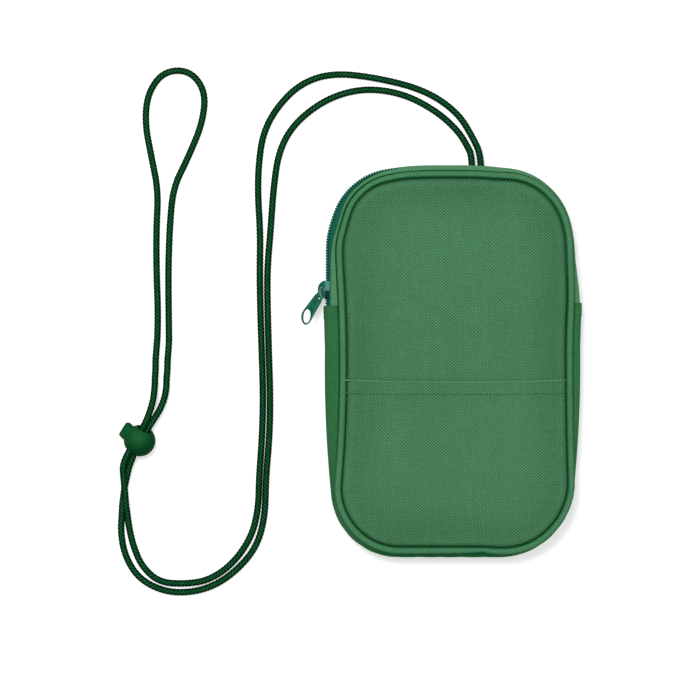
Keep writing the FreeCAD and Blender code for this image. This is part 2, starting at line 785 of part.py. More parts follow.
def lock_barrel():
    """The ball, with a blind bore for the plunger and a passage for both strands."""
    rounds = []
    for band_step in range(ball_bands + 1):
        angle = math.pi * (band_step / ball_bands - 0.5) * ball_cap_share
        girth = lock_radius * math.cos(angle)
        turned = [2 * math.pi * step / ball_sides for step in range(ball_sides)]
        level = lock_radius * math.sin(angle)
        rounds.append([V(girth * math.cos(a), girth * math.sin(a), level) for a in turned])
    ball = faceted(rounds)
    bore = Part.makeCylinder(plunger_radius + plunger_clearance, plunger_bore_depth + 2 * lock_radius,
                             V(-plunger_bore_depth, 0, 0), V(1, 0, 0))
    spread = strand_spacing / math.sqrt(2) / 2 + cord_radius + strand_clearance
    passage = strand_slot(strand_shift - spread, strand_shift + spread, spread, 2 * lock_radius)
    return across_lock(ball.cut(bore).cut(passage))


def lock_plunger():
    """The sprung button, with a slot that lines up with the passage when it is pressed."""
    spread = strand_spacing / math.sqrt(2) / 2 + cord_radius + strand_clearance
    inner = strand_shift - spread
    low = inner - plunger_inner_wall
    body = Part.makeCylinder(plunger_radius, plunger_reach - low, V(low, 0, 0), V(1, 0, 0))
    face = [edge for edge in body.Edges if edge.BoundBox.XMin > plunger_reach - plunger_edge / 2]
    body = body.makeChamfer(plunger_edge, face)
    slot = strand_slot(inner, strand_shift + spread + plunger_travel, spread, 2 * lock_radius)
    return across_lock(body.cut(slot))


def lock_spring():
    """The coil spring between the plunger and the bottom of its bore."""
    spread = strand_spacing / math.sqrt(2) / 2 + cord_radius + strand_clearance
    start = -plunger_bore_depth + spring_end_gap
    end = strand_shift - spread - plunger_inner_wall - spring_end_gap
    height = end - start - spring_wire
    sections = []
    for step in range(int(spring_turns * spring_steps) + 1):
        turn = 2 * math.pi * step / spring_steps
        climb = start + spring_wire / 2 + height * turn / (2 * math.pi * spring_turns)
        out = V(0, math.cos(turn), math.sin(turn))
        corners = []
        for side_step in range(spring_sides):
            angle = 2 * math.pi * side_step / spring_sides
            corners.append(V(climb, 0, 0) + out * (spring_radius + spring_wire / 2 * math.cos(angle))
                           + V(spring_wire / 2 * math.sin(angle), 0, 0))
        sections.append(corners)
    spring = faceted(sections)
    print(f"spring gap between turns {height / spring_turns - spring_wire:.2f}")
    return across_lock(spring)


def cord_end_tacks():
    """The stitched bar that fixes the two cord ends to the seam inside."""
    top = cord_entry_z - cord_radius - piping_clearance
    return box(cord_entry_x[0] - cord_radius - tack_margin, cord_entry_x[1] + cord_radius + tack_margin,
               cord_end_y - tack_margin, cord_end_y - tack_margin + tack_length,
               top - tack_thickness, top)


def save(name, shape):
    """Write one sub-part and print its size and state."""
    points, facets = shape.tessellate(facet_size)
    spans = []
    for axis in range(3):
        values = [point[axis] for point in points]
        spans.append(f"{min(values):.2f} {max(values):.2f}")
    print(f"{name:20s} solids {len(shape.Solids)} valid {shape.isValid()} "
          f"volume {shape.Volume:9.1f} facets {len(facets)} box {' / '.join(spans)}")
    shape.exportStep(f"parts/{name}.step")


save("front_panel", front_panel())
save("front_pocket", front_pocket())
save("back_panel", back_panel())
save("front_piping", front_piping())
save("back_piping", back_piping())
save("base_gusset", base_gusset())
save("front_zip_strip", zip_strip(1))
save("back_zip_strip", zip_strip(-1))
save("front_zip_tape", zip_tape(1))
save("back_zip_tape", zip_tape(-1))
save("front_zip_coil", zip_coil(1))
save("back_zip_coil", zip_coil(-1))
save("zip_end_stops", zip_end_stops())
save("front_seam_binding", seam_binding(1))
save("back_seam_binding", seam_binding(-1))
save("carry_cord", carry_cord())
save("slider_body", slider_body())
save("slider_cap", slider_cap())
save("puller", puller())
save("lock_barrel", lock_barrel())
save("lock_plunger", lock_plunger())
save("lock_spring", lock_spring())
save("cord_end_tacks", cord_end_tacks())
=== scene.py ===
import json
import math
from typing import NamedTuple

import bpy
import numpy as np
from mathutils import Vector
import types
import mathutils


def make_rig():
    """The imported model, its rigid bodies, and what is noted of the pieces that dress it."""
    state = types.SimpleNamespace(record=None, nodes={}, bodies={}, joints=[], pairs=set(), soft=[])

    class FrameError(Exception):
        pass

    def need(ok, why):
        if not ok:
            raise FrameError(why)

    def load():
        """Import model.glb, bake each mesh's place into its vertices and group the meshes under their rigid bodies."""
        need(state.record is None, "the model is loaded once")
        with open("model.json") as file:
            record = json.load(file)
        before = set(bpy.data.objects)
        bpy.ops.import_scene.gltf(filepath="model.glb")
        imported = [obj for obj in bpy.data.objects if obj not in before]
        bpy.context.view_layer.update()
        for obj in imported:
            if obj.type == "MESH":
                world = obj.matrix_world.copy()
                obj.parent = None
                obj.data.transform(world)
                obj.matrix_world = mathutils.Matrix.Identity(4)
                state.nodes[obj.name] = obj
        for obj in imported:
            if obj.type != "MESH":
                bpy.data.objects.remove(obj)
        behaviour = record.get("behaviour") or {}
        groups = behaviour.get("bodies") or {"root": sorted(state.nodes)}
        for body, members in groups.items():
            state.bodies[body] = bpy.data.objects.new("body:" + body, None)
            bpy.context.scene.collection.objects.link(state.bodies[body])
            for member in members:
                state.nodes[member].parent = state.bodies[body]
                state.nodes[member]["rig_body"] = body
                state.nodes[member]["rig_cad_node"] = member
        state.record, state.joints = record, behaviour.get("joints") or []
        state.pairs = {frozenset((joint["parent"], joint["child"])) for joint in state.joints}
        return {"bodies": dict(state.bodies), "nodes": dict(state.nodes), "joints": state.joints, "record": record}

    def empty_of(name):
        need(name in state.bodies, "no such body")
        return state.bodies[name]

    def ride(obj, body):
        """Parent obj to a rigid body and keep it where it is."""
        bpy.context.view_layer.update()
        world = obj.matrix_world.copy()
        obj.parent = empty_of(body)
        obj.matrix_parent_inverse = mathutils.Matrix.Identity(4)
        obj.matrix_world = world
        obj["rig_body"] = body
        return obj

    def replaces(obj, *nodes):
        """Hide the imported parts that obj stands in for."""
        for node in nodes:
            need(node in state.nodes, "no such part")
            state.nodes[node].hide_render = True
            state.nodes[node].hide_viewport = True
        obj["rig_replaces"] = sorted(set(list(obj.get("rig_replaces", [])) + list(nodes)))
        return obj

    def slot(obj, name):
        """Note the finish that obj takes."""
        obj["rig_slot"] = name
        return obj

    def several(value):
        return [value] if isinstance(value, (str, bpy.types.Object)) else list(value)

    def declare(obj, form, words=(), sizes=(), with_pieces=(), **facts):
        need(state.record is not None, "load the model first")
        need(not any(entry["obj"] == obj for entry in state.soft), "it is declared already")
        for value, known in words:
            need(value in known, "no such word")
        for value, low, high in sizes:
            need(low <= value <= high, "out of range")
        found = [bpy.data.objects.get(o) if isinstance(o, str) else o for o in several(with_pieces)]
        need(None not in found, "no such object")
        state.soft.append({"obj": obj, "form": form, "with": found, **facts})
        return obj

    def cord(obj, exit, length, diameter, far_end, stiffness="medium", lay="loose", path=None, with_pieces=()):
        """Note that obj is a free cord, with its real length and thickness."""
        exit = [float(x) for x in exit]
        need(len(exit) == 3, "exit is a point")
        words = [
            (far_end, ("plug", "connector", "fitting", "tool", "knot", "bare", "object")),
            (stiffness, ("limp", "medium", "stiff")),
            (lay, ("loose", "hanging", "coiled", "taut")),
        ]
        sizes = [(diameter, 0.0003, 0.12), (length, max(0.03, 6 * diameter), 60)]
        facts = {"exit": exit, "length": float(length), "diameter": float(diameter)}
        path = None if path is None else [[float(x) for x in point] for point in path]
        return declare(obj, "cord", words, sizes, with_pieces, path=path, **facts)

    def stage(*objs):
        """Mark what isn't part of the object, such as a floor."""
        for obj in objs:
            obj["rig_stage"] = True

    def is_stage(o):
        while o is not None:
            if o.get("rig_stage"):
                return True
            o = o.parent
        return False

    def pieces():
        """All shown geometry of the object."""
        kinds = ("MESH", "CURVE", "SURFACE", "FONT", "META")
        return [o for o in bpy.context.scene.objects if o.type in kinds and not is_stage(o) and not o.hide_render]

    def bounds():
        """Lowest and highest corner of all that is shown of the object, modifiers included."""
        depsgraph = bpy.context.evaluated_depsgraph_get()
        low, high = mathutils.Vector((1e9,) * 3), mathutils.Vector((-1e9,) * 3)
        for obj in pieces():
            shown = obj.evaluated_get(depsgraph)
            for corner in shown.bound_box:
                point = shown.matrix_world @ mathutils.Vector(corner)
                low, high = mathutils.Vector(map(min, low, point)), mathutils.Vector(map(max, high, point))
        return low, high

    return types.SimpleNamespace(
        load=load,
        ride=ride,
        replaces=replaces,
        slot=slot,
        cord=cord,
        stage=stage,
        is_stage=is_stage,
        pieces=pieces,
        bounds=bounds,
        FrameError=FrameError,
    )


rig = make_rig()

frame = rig.load()
CAD_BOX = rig.bounds()

# A crossbody travel pouch that lies on its back. Lengths are in millimetres until a mesh is placed.
MM = 0.001
FULL = 2 * math.pi
QUARTER = math.pi / 2
UP = np.array([0.0, 0.0, 1.0])


# Outlines of the pouch, seen from above

class Outline(NamedTuple):
    """A rounded outline: half its width and height, its corner radii and what bends it."""
    wide: float
    high: float
    radii: tuple
    dips: tuple = (0, 0)
    lean: float = 0
    drop: float = 0
    dent: float = 0


SEAM_RADII = (33.5, 35.0, 30.0, 33.0)
FRONT_SEAM = Outline(56.55, 91.5, SEAM_RADII, (2.55, 1.0), lean=0.95, drop=1.0, dent=1.0)
BACK_SEAM = Outline(56.55, 91.5, SEAM_RADII, (2.0, 2.0), lean=-0.8)
SIDE_WALL = Outline(59.0, 95.2, (40.0, 40.0, 33.0, 36.5), (-3.0, -3.0))
ZIP_LINE = Outline(59.2, 93.2, (36.2, 39.0, 37.0, 37.0), lean=-0.8)
FRONT_SLOT = Outline(59.6, 94.8, (39.6, 39.6, 37.5, 37.5), lean=0.4, dent=1.1)
BACK_SLOT = Outline(59.6, 95.2, (39.5, 39.5, 37.5, 37.5), lean=-1.2)
BACK_Z, FRONT_Z, ZIP_Z = 2.3, 21.1, 12.7
WALL_FOOT, WALL_TOP, WALL_OUTSET = 3.8, 19.6, 0.9
FACES = {1: ("front", FRONT_SEAM, FRONT_SLOT, WALL_TOP), -1: ("back", BACK_SEAM, BACK_SLOT, WALL_FOOT)}
PIPING, PIPING_SIDES = 1.75, 20
SAG = 0.8
STRAIGHT = 0.02
PLAIT, SLANT = 1.80, -1.3
PIPING_JOINT_X = -11.2
GUSSET_LEFT_Y, GUSSET_RIGHT_Y = 26.6, 28.1
POCKET_Y, HEM = -9.2, 6.3
JUST_BEFORE = 1e-9


def bell(value, middle, reach):
    """1 at the middle, and next to nothing two reaches away from it."""
    return np.exp(-((value - middle) / reach) ** 2)


def climb(value, start, reach):
    """0 up to the start, and 1 from one reach past it."""
    return np.clip((value - start) / reach, 0, 1)


def mixed(first, second, share):
    """An outline between two others."""
    return Outline(*(np.add(a, np.subtract(b, a) * share) for a, b in zip(first, second)))


def widened(shape, outset):
    """An outline moved outwards."""
    return shape._replace(wide=shape.wide + outset, high=shape.high + outset, radii=np.add(shape.radii, outset))


def one_side(shape, sign):
    """The upper and lower corner radii of one side, and how far its middle is drawn in."""
    top_left, top_right, low_left, low_right = shape.radii
    return (top_right, low_right, shape.dips[1]) if sign > 0 else (top_left, low_left, shape.dips[0])


def waist_arc(shape, sign):
    """Centre and radius of the shallow curve that draws a long side in."""
    upper, lower, dip = one_side(shape, sign)
    mean = (upper + lower) / 2
    half = shape.high - mean
    bend = (half * half / dip + dip) / 2 - mean
    return sign * (shape.wide - dip + bend) + shape.lean, (lower - upper) / 2, bend


def corner_arc(shape, sign, end):
    """Centre, radius and the two angles of a corner: at the side, and at the end."""
    upper, lower, dip = one_side(shape, sign)
    radius = upper if end > 0 else lower
    y = end * (shape.high - radius)
    if abs(dip) < STRAIGHT:
        return sign * (shape.wide - radius) + shape.lean, y, radius, 0.0, end * QUARTER
    cx, cy, bend = waist_arc(shape, sign)
    reach = bend + radius
    rise = y - cy
    x = cx - sign * math.copysign(math.sqrt(reach * reach - rise * rise), reach)
    return x, y, radius, -math.asin(rise / reach), end * QUARTER


def side_limits(shape, sign):
    """The heights at which a long side meets its lower and upper corners."""
    _, y0, r0, a0, _ = corner_arc(shape, sign, -1)
    _, y1, r1, a1, _ = corner_arc(shape, sign, 1)
    return y0 + r0 * math.sin(a0), y1 + r1 * math.sin(a1)


def place_on(shape, part, share):
    """One point and its outward normal, some share along one of an outline's nine parts."""
    sign = -1 if part < 4 else 1
    if part in (0, 8):
        x, y, radius, _, _ = corner_arc(shape, sign, -1)
        start, stop = (PIPING_JOINT_X, x) if part == 0 else (x, PIPING_JOINT_X)
        return (start + (stop - start) * share, y - radius), (0, -1)
    if part == 4:
        left, right = corner_arc(shape, -1, 1)[0], corner_arc(shape, 1, 1)[0]
        return (left + (right - left) * share, shape.high), (0, 1)
    if part in (1, 3, 5, 7):
        x, y, radius, at_side, at_end = corner_arc(shape, sign, -1 if part in (1, 7) else 1)
        angle = at_side + (at_end - at_side) * (1 - share if part in (1, 5) else share)
        normal = (sign * math.cos(angle), math.sin(angle))
        return (x + radius * normal[0], y + radius * normal[1]), normal
    low, high = side_limits(shape, sign)
    y = low + (high - low) * (share if part == 2 else 1 - share)
    if abs(one_side(shape, sign)[2]) < STRAIGHT:
        return (sign * shape.wide + shape.lean, y), (sign, 0)
    cx, cy, bend = waist_arc(shape, sign)
    x = cx - sign * math.copysign(math.sqrt(bend * bend - (y - cy) ** 2), bend)
    return (x, y), ((cx - x) / bend, (cy - y) / bend)


def trace(shape, places):
    """Points and outward normals at places 0 to 9 along the outline, clockwise from the piping's joint.

    The slack cloth moves the points: its shoulders sag, and its long sides are dented and slant.
    """
    parts = [min(int(place), 8) for place in places]
    found = [place_on(shape, part, place - part) for part, place in zip(parts, places)]
    points, normals = (np.array(rows, dtype=float) for rows in zip(*found))
    x, y = points.T.copy()
    upper = climb(y, 0, 90)
    shoulders = bell(np.abs(x + 2), 26, 9)
    dent = 0.8 * bell(y, 68, 9) + shape.dent * bell(y, 65, 11)
    slant = 0.5 * bell(y, 30, 12) - 1.1 * bell(y, 62, 14)
    points[:, 0] += climb(np.abs(x), 20, 20) * np.where(x < 0, dent, slant)
    points[:, 1] -= 0.45 * shape.drop * climb(points[:, 0], 15, 6) * climb(-y, 80, 10)
    points[:, 1] -= shape.drop * upper ** 2 + SAG * shoulders * upper ** 4
    return points, normals


def places_between(start, stop, step):
    """Places along the outline about step millimetres apart, with the joins between its parts kept."""
    marks = [start] + [m for m in range(1, 9) if start < m < stop] + [stop]
    places = []
    for low, high in zip(marks, marks[1:]):
        ends, _ = trace(FRONT_SEAM, np.linspace(low, high - JUST_BEFORE, 24))
        count = max(3, int(lengths(ends)[-1] / step) + 1)
        places += list(np.linspace(low, high - JUST_BEFORE, count))[:-1]
    return np.array(places + [stop - JUST_BEFORE])


def place_at(shape, sign, y):
    """Where a long side passes a height."""
    low, high = side_limits(shape, sign)
    share = (y - low) / (high - low)
    return 2 + share if sign < 0 else 7 - share


def lengths(points):
    """Distance travelled along a line of points."""
    steps = np.linalg.norm(np.diff(points, axis=0), axis=1)
    return np.concatenate([[0.0], np.cumsum(steps)])


# Mesh tools

def read(items, key, width=3, kind=float):
    """One property of a mesh's vertices, faces or corners, a row for each."""
    flat = np.empty(len(items) * width, dtype=kind)
    items.foreach_get(key, flat)
    return flat.reshape(-1, width)


def unit(vectors):
    """The same vectors, one unit long."""
    return vectors / np.linalg.norm(vectors, axis=-1, keepdims=True)


def placed(name, data):
    """A mesh, curve, camera or lamp becomes an object of the scene."""
    holder = bpy.data.objects.new(name, data)
    bpy.context.scene.collection.objects.link(holder)
    return holder


def deselect():
    """Nothing is selected, and object mode is on."""
    if bpy.context.mode != "OBJECT":
        bpy.ops.object.mode_set(mode="OBJECT")
    bpy.ops.object.select_all(action="DESELECT")


def pick(piece):
    """Only one piece is selected, and it is the active one."""
    deselect()
    piece.select_set(True)
    bpy.context.view_layer.objects.active = piece


def paired(along, across):
    """UV coordinates from a row of numbers along and a column across, or the other way round."""
    return np.stack(np.broadcast_arrays(along, across), axis=2)


def edit(piece):
    """Edit mode on one piece, with all of it selected."""
    pick(piece)
    bpy.ops.object.mode_set(mode="EDIT")
    bpy.ops.mesh.select_all(action="SELECT")


def edit_rim(piece):
    """Edit mode on one piece, with only its open edges selected."""
    edit(piece)
    bpy.ops.mesh.select_all(action="DESELECT")
    bpy.ops.mesh.select_mode(type="EDGE")
    bpy.ops.mesh.select_non_manifold()


def leave():
    bpy.ops.object.mode_set(mode="OBJECT")


def weave_grid(name, points, uv, wrap=False):
    """A grid laid over rows of points, with its UV map in metres; wrap joins the edges that meet."""
    rows, columns = points.shape[:2]
    piece = added(bpy.ops.mesh.primitive_grid_add, (0, 0, 0), x_subdivisions=columns - 1,
                  y_subdivisions=rows - 1, size=2)
    piece.name = name
    mesh = piece.data
    flat = read(mesh.vertices, "co")
    i = np.rint((flat[:, 0] + 1) / 2 * (columns - 1)).astype(int)
    j = np.rint((flat[:, 1] + 1) / 2 * (rows - 1)).astype(int)
    mesh.vertices.foreach_set("co", (points[j, i] * MM).ravel())
    corner = read(mesh.loops, "vertex_index", 1, int)[:, 0]
    mesh.uv_layers[0].data.foreach_set("uv", (uv[j, i] * MM)[corner].ravel())
    mesh.update()
    if wrap:
        edit(piece)
        bpy.ops.mesh.remove_doubles(threshold=2e-6)
        leave()
    return piece


def closed_grid(name, points, uv, degrees=180):
    """A grid that closes on itself, its faces outwards and shaded smooth."""
    piece = weave_grid(name, points, uv, wrap=True)
    outwards(piece)
    smooth(piece, degrees)
    return piece


def facing(piece, way):
    """Turn a sheet so that its faces look outwards: up, down, or away from the middle."""
    normals = read(piece.data.polygons, "normal")
    if way == "side":
        total = (normals[:, :2] * read(piece.data.polygons, "center")[:, :2]).sum()
    else:
        total = normals[:, 2].sum() * (1 if way == "up" else -1)
    if total < 0:
        edit(piece)
        bpy.ops.mesh.flip_normals()
        leave()


def finish_with(piece, kind, **settings):
    """Add a modifier and apply it."""
    modifier = piece.modifiers.new(kind.title(), kind)
    for key, value in settings.items():
        setattr(modifier, key, value)
    pick(piece)
    bpy.ops.object.modifier_apply(modifier=modifier.name)


def thicken(piece, thickness, way, even=False):
    """Give a sheet its thickness on its inner side."""
    facing(piece, way)
    finish_with(piece, "SOLIDIFY", thickness=thickness * MM, offset=-1.0, use_even_offset=even)


def bevel(piece, width, degrees, segments=3):
    """Ease the edges that turn by more than some degrees."""
    finish_with(piece, "BEVEL", width=width * MM, segments=segments, limit_method="ANGLE",
                angle_limit=math.radians(degrees))


def outwards(piece):
    """Normals of a closed piece point out."""
    edit(piece)
    bpy.ops.mesh.normals_make_consistent(inside=False)
    leave()


def smooth(piece, degrees=40):
    pick(piece)
    bpy.ops.object.shade_smooth_by_angle(angle=math.radians(degrees))


def coordinates(piece):
    return read(piece.data.vertices, "co") / MM


def move_points(piece, points):
    piece.data.vertices.foreach_set("co", (points * MM).ravel())
    piece.data.update()


def dress(piece, material, body, slot, *nodes):
    """Give a finished piece its material, its body, its finish and the nodes that it stands for."""
    piece.data.materials.clear()
    piece.data.materials.append(material)
    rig.ride(piece, body)
    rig.slot(piece, slot)
    if nodes:
        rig.replaces(piece, *nodes)
    return piece


def at_runs(rows, run, places):
    """Rows of numbers that are known along a line, at other distances along it."""
    return np.stack([np.interp(places, run, column) for column in rows.T], axis=1)


def even(line, step):
    """The same line with its points evenly spaced."""
    run = lengths(line)
    return at_runs(line, run, np.linspace(0, run[-1], int(round(run[-1] / step)) + 1))


def tube_points(line, sides, radius, up=UP):
    """Rings of points round a line, and their UV; radius is a function of the run and the angle."""
    run = lengths(line)
    along = unit(np.gradient(line, axis=0))
    across = unit(np.cross(along, up))
    level = np.cross(across, along)
    angle = np.linspace(0, FULL, sides + 1)
    reach = np.broadcast_to(radius(run[:, None], angle), (len(run), sides + 1))[:, :, None]
    ring = across[:, None] * np.cos(angle)[:, None] + level[:, None] * np.sin(angle)[:, None]
    return line[:, None] + ring * reach, paired(run[:, None], angle / FULL / MM)


def tube(name, line, sides, radius, up=UP):
    """A closed tube round a line."""
    piece = weave_grid(name, *tube_points(line, sides, radius, up), wrap=True)
    edit_rim(piece)
    bpy.ops.mesh.edge_face_add()
    leave()
    outwards(piece)
    smooth(piece, 180)
    return piece


# Materials

YARN_ACROSS, YARN_ALONG, WEFT_LEAN, WARP_LEAN = 0.814, 0.774, 0.069, 0.016
# Painted shade in the grooves beside the piping and on the piping's inner side
SEAM_SHADE = (0, 74, 34)
# Painted shade on the sides of the round piping
FLANK_SHADE = (16, 86, 46)
# Painted shade along the foot of the side wall
LOW_SIDE_SHADE = (0, 98, 42)
# Painted highlight on the cord's plaits
CORD_HIGHLIGHT = (84, 138, 104)


def srgb(red, green, blue):
    """A colour given as it is seen, 0 to 255."""
    def linear(c):
        c /= 255
        return c / 12.92 if c <= 0.04045 else ((c + 0.055) / 1.055) ** 2.4
    return (linear(red), linear(green), linear(blue), 1.0)


class Value:
    """A socket that can be written in sums."""

    def __init__(self, paint, socket):
        self.paint = paint
        self.socket = socket

    def math(self, operation, *others):
        return self.paint.add("ShaderNodeMath", {"operation": operation}, (self,) + others)

    def __add__(self, other):
        return self.math("ADD", other)

    def __mul__(self, other):
        return self.math("MULTIPLY", other)

    def __sub__(self, other):
        return self.math("SUBTRACT", other)

    def __rsub__(self, other):
        return self.paint.add("ShaderNodeMath", {"operation": "SUBTRACT"}, (other, self))

    def __pow__(self, other):
        return self.math("POWER", other)

    __radd__ = __add__
    __rmul__ = __mul__


class Paint:
    """A material under construction."""

    def __init__(self, name, **constants):
        self.material = bpy.data.materials.new(name)
        self.material.use_nodes = True
        self.tree = self.material.node_tree
        self.shader = self.tree.nodes["Principled BSDF"]
        for key, value in constants.items():
            self.shader.inputs[key.replace("_", " ")].default_value = value

    def add(self, kind, settings=None, inputs=(), output=0):
        """Add a node: its settings first, then values or links for its sockets."""
        node = self.tree.nodes.new(kind)
        for key, value in (settings or {}).items():
            setattr(node, key, value)
        pairs = inputs.items() if isinstance(inputs, dict) else enumerate(inputs)
        for key, value in pairs:
            self.put(node.inputs[key], value)
        return Value(self, node.outputs[output])

    def put(self, socket, value):
        """Link a value to a socket, or set a number or a seen colour on it."""
        if isinstance(value, Value):
            self.tree.links.new(value.socket, socket)
        else:
            socket.default_value = srgb(*value) if socket.type == "RGBA" else value

    def split(self, vector):
        """The three parts of a vector."""
        node = self.tree.nodes.new("ShaderNodeSeparateXYZ")
        self.put(node.inputs[0], vector)
        return [Value(self, output) for output in node.outputs]

    def place(self, kind="Object"):
        return self.add("ShaderNodeTexCoord", output={"Object": 3, "UV": 2}[kind])

    def mix(self, factor, first, second):
        """A blend of two colours."""
        return self.add("ShaderNodeMix", {"data_type": "RGBA"}, {0: factor, 6: first, 7: second}, 2)

    def scaled(self, colour, factor):
        """A colour made lighter or darker."""
        return self.add("ShaderNodeVectorMath", {"operation": "SCALE"}, {0: colour, "Scale": factor})

    def stretched(self, vector, scale):
        """A place with its three parts scaled."""
        return self.add("ShaderNodeMapping", {}, {"Vector": vector, "Scale": scale})

    def noise(self, vector, scale, detail=2.0):
        return self.add("ShaderNodeTexNoise", {}, {"Vector": vector, "Scale": scale, "Detail": detail})

    def bump(self, height, distance, strength):
        return self.add("ShaderNodeBump", {}, {"Height": height, "Distance": distance * MM, "Strength": strength})

    def ramp(self, value, low, high):
        """0 below low, 1 above high."""
        return self.add("ShaderNodeMapRange", {"interpolation_type": "SMOOTHSTEP"},
                        {0: value, 1: low, 2: high, 3: 0.0, 4: 1.0})

    def finish(self, **links):
        for key, value in links.items():
            self.put(self.shader.inputs[key.replace("_", " ")], value)
        return self.material


def woven(name, light, dark, space="Object", depth=0.2, seam=None, flanks=False, lift=0):
    """Plain-woven cloth: warp and weft yarns that pass over and under each other like a chequerboard.

    The lighter warp-on-top cells and the darker weft-on-top cells and hollows are the weave's texture, partly painted
    shade.
    seam paints shade beside a seam: where the dark line starts and stops, how bright the cloth is next to
    it, how faint the line is on the right, and 1 for a panel, which also gets a painted lighter band and a
    wider line at the top. flanks paints shade on the piping, whose cloth is pulled smooth, and lift paints
    light on the side wall's right side and shade along its foot.
    """
    paint = Paint(name, Specular_IOR_Level=0.05)
    where = paint.place(space)
    x, y, _ = paint.split(where)
    east, north, _ = paint.split(paint.place())
    run, inset, _ = paint.split(paint.place("UV"))
    wobble = (paint.noise(where, 140.0, 1.0) - 0.5) * 0.3
    u = (x - y * WEFT_LEAN) * (1 / (YARN_ACROSS * MM)) + wobble
    v = (y + x * WARP_LEAN) * (1 / (YARN_ALONG * MM)) - wobble
    across = (u * math.pi).math("SINE").math("ABSOLUTE")
    along = (v * math.pi).math("SINE").math("ABSOLUTE")
    patch = paint.ramp(paint.noise(where, 150.0), 0.3, 0.7) * 0.34 + 0.33
    rising = ((u - v) * math.pi).math("COSINE") * patch
    falling = ((u + v) * math.pi).math("COSINE") * (1 - patch)
    clear = paint.ramp(paint.noise(where, 210.0, 1.0), 0.3, 0.55) * 0.6 + 0.45
    over = (paint.ramp(rising - falling, -0.5, 0.5) - 0.5) * clear + 0.5
    warp = (along * 0.65 + 0.35) * (across ** 0.5)
    weft = (across * 0.65 + 0.35) * (along ** 0.5)
    height = warp * over + weft * (1 - over) * 0.8
    fibre = paint.noise(where, 5200.0)
    yarn = paint.noise(where, 700.0)
    broad = paint.noise(where, 26.0, 3.0)
    ends = paint.noise(paint.stretched(where, (1250, 60, 60)), 1.0, 1.0)
    picks = paint.noise(paint.stretched(where, (60, 1250, 60)), 1.0, 1.0)
    # The warp-on-top cells and the yarn tops are lighter, and the weft-on-top cells and the hollows darker: the weave's
    # texture, with painted shade in it
    cloth = paint.mix(over * 0.62 + paint.ramp(height, 0.1, 0.9) * 0.38, dark, light)
    uneven = (ends - 0.5) * over + (picks - 0.5) * (1 - over)
    tint = uneven * 0.3 + (yarn - 0.5) * 0.34 + (broad - 0.5) * 0.22 + (fibre - 0.5) * 0.10 + 1.0
    cloth = paint.scaled(cloth, tint)
    if seam:
        near, far, edge, faint, wide = seam
        # Painted light and shade beside a seam: a lighter band 3.5 to 8 mm in, and painted shade that darkens the cloth
        # towards its edge
        band = (1 - paint.ramp(inset, 3.5 * MM, 8 * MM)) * (wide * 0.13)
        cloth = paint.scaled(cloth, paint.ramp(inset, 4 * MM, 26.5 * MM) * (1 - edge) + edge + band)
        # Painted shade: the groove beside the seam is painted dark, wider at the top and fading out on the right
        top = paint.ramp(north, 0.045, 0.068) * wide
        line = paint.ramp(inset - top * (0.4 * MM), near * MM, far * MM)
        line = line.math("MAXIMUM", paint.ramp(east, 0.03, 0.05) * faint)
        cloth = paint.mix(line.math("MAXIMUM", (1 - top) * (wide * 0.2)), SEAM_SHADE, cloth)
    if flanks:
        # Painted shade on the round piping: darker on its sides, darkest on its inner side at the top, and darker at
        # its joint
        round_it = inset * (1 / (PIPING * MM))
        up, outer = round_it.math("SINE"), round_it.math("COSINE")
        cloth = paint.mix(paint.ramp(up + outer * 0.25, 0.2, 1.0), FLANK_SHADE, cloth)
        low = (paint.ramp(north, 0.078, 0.087) * 0.5 + 0.25) * paint.ramp(outer * -1.0, 0.1, 0.75)
        cloth = paint.mix(low, cloth, SEAM_SHADE)
        cloth = paint.mix(paint.ramp(run, 0.1 * MM, 0.6 * MM) * 0.5 + 0.5, FLANK_SHADE, cloth)
    if lift:
        # Painted light on the side wall's right side, and painted shade along its foot
        cloth = paint.scaled(cloth, paint.ramp(east, -0.02, 0.05) * lift + 1.0)
        cloth = paint.mix(paint.ramp(north, -0.0965, -0.086), LOW_SIDE_SHADE, cloth)
    relief = fibre * 0.1 if flanks else height + fibre * 0.1
    normal = paint.bump(relief, depth, 0.7)
    return paint.finish(Base_Color=cloth, Roughness=0.80 + (yarn - 0.5) * 0.12, Normal=normal)


def tape_cloth(name, light, dark):
    """Zip tape: a fine herringbone along its UV map."""
    paint = Paint(name, Specular_IOR_Level=0.12)
    where = paint.place("UV")
    u, v, _ = paint.split(where)
    fold = ((v * (1 / (2.4 * MM))).math("FRACT") - 0.5).math("ABSOLUTE") * 2.4
    wale = ((u * (1 / (0.55 * MM)) + fold * 1.6) * math.pi).math("SINE").math("ABSOLUTE")
    fibre = paint.noise(where, 4000.0)
    colour = paint.mix(wale * 0.8 + fibre * 0.2, dark, light)
    normal = paint.bump(wale + fibre * 0.2, 0.08, 0.8)
    return paint.finish(Base_Color=colour, Roughness=0.7 + fibre * 0.1, Normal=normal)


def nylon(name, light, dark):
    """Extruded nylon: satin with faint streaks."""
    paint = Paint(name, Specular_IOR_Level=0.12)
    streak = paint.noise(paint.place(), 900.0, 3.0)
    return paint.finish(Base_Color=paint.mix(streak, dark, light), Roughness=0.45 + streak * 0.14)


